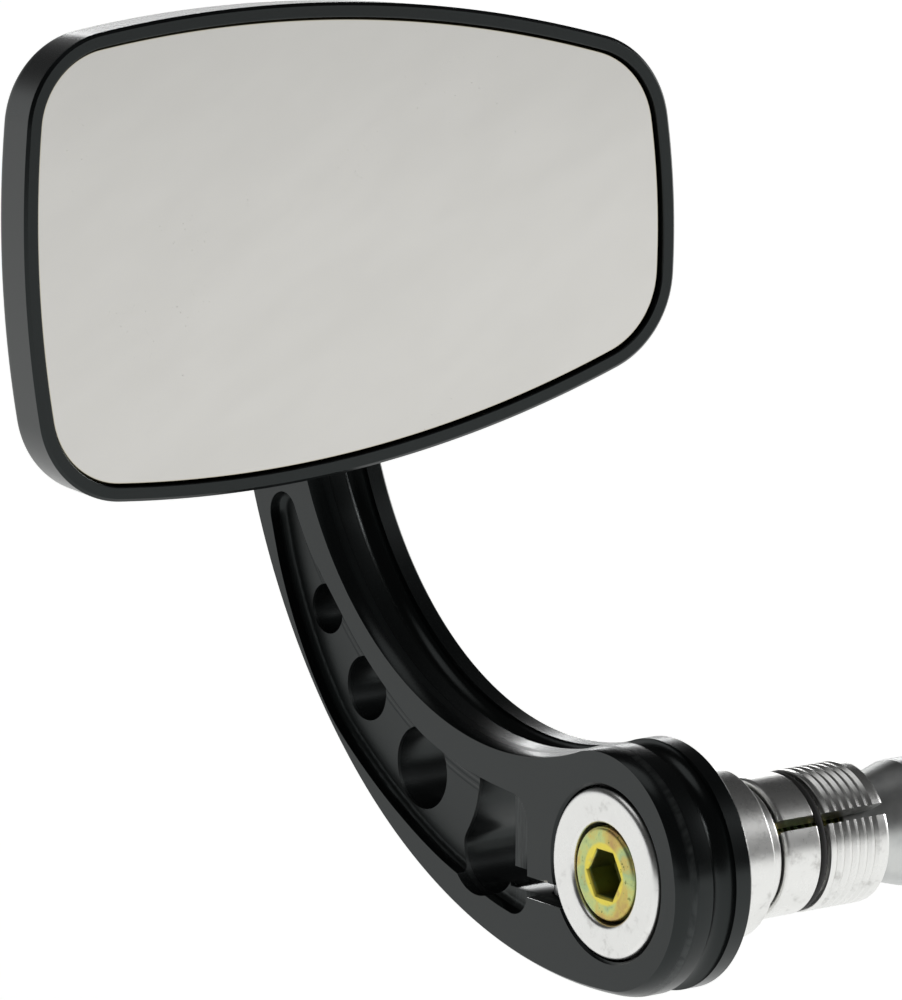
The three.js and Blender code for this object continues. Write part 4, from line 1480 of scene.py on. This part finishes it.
    def glass(self) -> None:
        """Glass with ground edges; its "rim" numbers are the distance in from its edge, in millimetres."""
        loop = self.outline()
        face, back, ground = self.glass_face, self.glass_face - self.glass_thick, 0.22
        rows = np.array([(face, -6.0), (face, -2.0), (face, -0.6), (face, -ground), (face - ground, 0.0),
                         (back + ground, 0.0), (back, -ground)])
        walls = stacked(loop, rows + (0.0, self.glass_wide))
        points = [np.broadcast_to(np.array([self.glass_centre, 0.0, h]), (1, len(loop), 3))
                  for h in (face, back)]
        grid = np.concatenate([points[0], walls, points[1]])
        piece = Bench.mesh("mirror_glass_fine", self.place.put(grid))
        local = np.array([v.co for v in piece.data.vertices]) / MM - np.asarray(self.place.origin)
        flat = np.stack([local @ np.asarray(self.place.right), local @ np.asarray(self.place.up)], axis=1)
        edge_row = 4
        near = np.min(np.linalg.norm(flat[:, None] - walls[edge_row][None, :, :2], axis=2), axis=1)
        piece.data.attributes.new("rim", "FLOAT", "POINT").data.foreach_set("value", near.astype(np.float32))
        Bench.dress(piece, SilveredGlass(), "head", Smoothing.TURNED, ["mirror_glass"])

    def cups(self) -> None:
        """Two spherical cups: arcs of two circles closed into a section and turned about the head's axis."""
        inner, outer = 6.65, 7.65
        for name, start, end in (("rear_cup", math.radians(48), math.pi / 2 - 0.06),
                                 ("front_cup", math.pi / 2 + 0.02, math.pi - 0.35)):
            swing = np.linspace(start, end, 24)
            out = np.stack([-outer * np.cos(swing), outer * np.sin(swing)], axis=1)
            back = np.stack([-inner * np.cos(swing), inner * np.sin(swing)], axis=1)[::-1]
            piece = Bench.mesh(f"{name}_fine", self.place.put(turned(np.vstack([out, back]), 96)),
                               closed_rows=True)
            Bench.dress(piece, NaturalNylon(), "ball_cups", Smoothing.TURNED, [name])

    def ring(self) -> None:
        """Ring that holds the cups, with stepped holes for its screws, and the screws."""
        lip = -4.9
        start = self.hub_end - GAP
        heights = np.linspace(lip, start, 9)
        bowl = np.stack([heights, np.sqrt(self.socket_r**2 - heights**2)], axis=1)
        outside = rounded([
            tuple(bowl[-1]), (start, self.hub_r, 0.15), (self.ring_end, self.hub_r, 0.9),
            (self.ring_end, 7.1, 0.25), tuple(bowl[0]),
        ])
        grid = turned(np.vstack([bowl, outside[1:-1]]), 144)
        piece = Bench.mesh("retaining_ring_fine", self.place.put(grid), closed_rows=True)
        quarter = math.pi / 2
        tools, screws = [], []
        for i in range(4):
            angle = math.pi / 4 + i * quarter
            x, y = self.screw_circle * math.cos(angle), self.screw_circle * math.sin(angle)
            base = self.place
            origin = tuple(base.put(np.array([x, y, 0.0])))
            spot = Placement(origin, base.right, base.up, base.out)
            hole = np.array([(self.ring_end - 1, 0), (self.ring_end - 1, 1.7), (self.ring_end + 1.5, 1.7),
                             (self.ring_end + 1.5, 1.3), (start + 1, 1.3), (start + 1, 0)])
            tools.append(Bench.mesh(f"ring_tool_{i}", spot.put(turned(hole, 40))))
            middle = spot.put(np.array([0, 0, self.ring_end + 0.1]))
            seat = Placement(tuple(middle), base.right, base.up, base.out)
            screws.append(SocketScrew(
                f"ring_screw_{i + 1}_fine", seat, head_r=1.4, head_height=1.0, shank_r=0.8, length=4.5,
                flats=1.5, socket_depth=0.6, thread_from=1.6, pitch=0.35, phase=0.4 * i, columns=48))
        Bench.dress(Bench.cut(piece, tools), BlackAnodised(), "head", Smoothing.TURNED, ["retaining_ring"])
        for i, screw in enumerate(screws):
            Bench.dress(screw.build(), ZincPlate(), "head", Smoothing.TURNED, [f"ring_screw_{i + 1}"])

    def build(self) -> None:
        """Builds the head."""
        self.shell()
        self.glass()
        Bench.repaint("adhesive_pad", FoamTape())
        self.cups()
        self.ring()


# ------------------------------------------------------------------ studio
@dataclass(frozen=True)
class Lamp:
    """A soft rectangular light that looks at a point."""

    name: str
    at: tuple[float, float, float]
    width: float
    height: float
    power: float
    aim: tuple[float, float, float] = (-0.014, 0.04, 0.05)

    def light(self) -> bpy.types.Light:
        """Makes the light's data: a soft rectangle.

        Returns:
            The light.
        """
        data = bpy.data.lights.new(self.name, "AREA")
        data.shape = "RECTANGLE"
        data.size, data.size_y, data.energy = self.width, self.height, self.power
        return data

    def build(self) -> None:
        """Adds the light."""
        lamp = bpy.data.objects.new(self.name, self.light())
        lamp.location = self.at
        lamp.rotation_euler = (Vector(self.aim) - Vector(self.at)).to_track_quat("-Z", "Y").to_euler()
        bpy.context.scene.collection.objects.link(lamp)


@dataclass(frozen=True)
class WideSun(Lamp):
    """Light of even strength over the whole floor; its width is an angle in radians."""

    def light(self) -> bpy.types.Light:
        """Makes the light's data: a wide sun.

        Returns:
            The light.
        """
        data = bpy.data.lights.new(self.name, "SUN")
        data.angle, data.energy = self.width, self.power
        return data


@dataclass
class Studio:
    """Floor, sky, lamps and camera."""

    floor_drop: float = 0.030
    floor_size: float = 12.0
    sky: tuple[float, float, float] = (0.97, 0.98, 0.98)
    dusk: tuple[float, float, float] = (0.05, 0.05, 0.05)
    sky_power: float = 0.95
    eye: tuple[float, float, float] = (-1.24046, -1.63143, 0.51176)
    ahead: tuple[float, float, float] = (0.5763, 0.7870, -0.2203)
    lens: float = 561.33
    lamps: tuple[Lamp, ...] = (
        WideSun("high", (-0.5, 0.4, 2.0), 0.7, 0.0, 0.3),
        Lamp("ahead_low", (1.25, 1.80, 0.56), 0.7, 0.16, 3.0),
        Lamp("right_strip", (1.37, -0.68, 0.56), 0.34, 0.8, 9.0),
    )

    def floor(self) -> None:
        """Flat floor, part of the stage."""
        low = min(v.z for v in map(Vector, CAD_BOX)) - self.floor_drop
        s = self.floor_size / MM / 2
        corners = np.array([(-s, -s, 0), (s, -s, 0), (s, s, 0), (-s, s, 0)], float) + (0, 0, low / MM)
        piece = Bench.finish("floor", corners, [[0, 1, 2, 3]])
        piece.data.materials.append(PaleFloor().material())

    def world(self) -> None:
        """Pale backdrop ahead and low down, and an unlit room behind and overhead."""
        world = bpy.data.worlds.new("surroundings")
        nodes = Nodes(world)
        way = nodes.add("ShaderNodeTexCoord", {}, {}).outputs["Generated"]
        ahead = nodes.component(way, "Y").step(-0.30, 0.35)
        low = nodes.component(way, "Z").step(0.34, 0.14)
        nodes.surface(Color=nodes.blend(ahead * low, self.dusk, self.sky), Strength=self.sky_power)
        bpy.context.scene.world = world

    def camera(self) -> None:
        """Long lens, with its right-hand side level."""
        ahead = Vector(self.ahead).normalized()
        right = ahead.cross(Vector((0, 0, 1))).normalized()
        up = right.cross(ahead)
        data = bpy.data.cameras.new("camera")
        data.lens, data.sensor_width, data.sensor_fit = self.lens, 36.0, "AUTO"
        data.clip_start, data.clip_end = 0.05, 60.0
        camera = bpy.data.objects.new("camera", data)
        turn = Matrix((right, up, -ahead)).transposed().to_4x4()
        camera.matrix_world = Matrix.Translation(Vector(self.eye)) @ turn
        bpy.context.scene.collection.objects.link(camera)
        bpy.context.scene.camera = camera

    def build(self) -> None:
        """Builds the studio."""
        self.floor()
        self.world()
        for lamp in self.lamps:
            lamp.build()
        self.camera()
        bpy.context.scene.view_settings.view_transform = "Standard"


def main() -> None:
    """Builds the sub-assemblies in order, then the studio."""
    logging.basicConfig(level=logging.INFO, format="%(name)s %(message)s")
    for assembly in (BarClamp(), Arm(), MirrorHead(), Studio()):
        LOG.info("building %s", type(assembly).__name__)
        assembly.build()


if __name__ == "__main__":
    main()
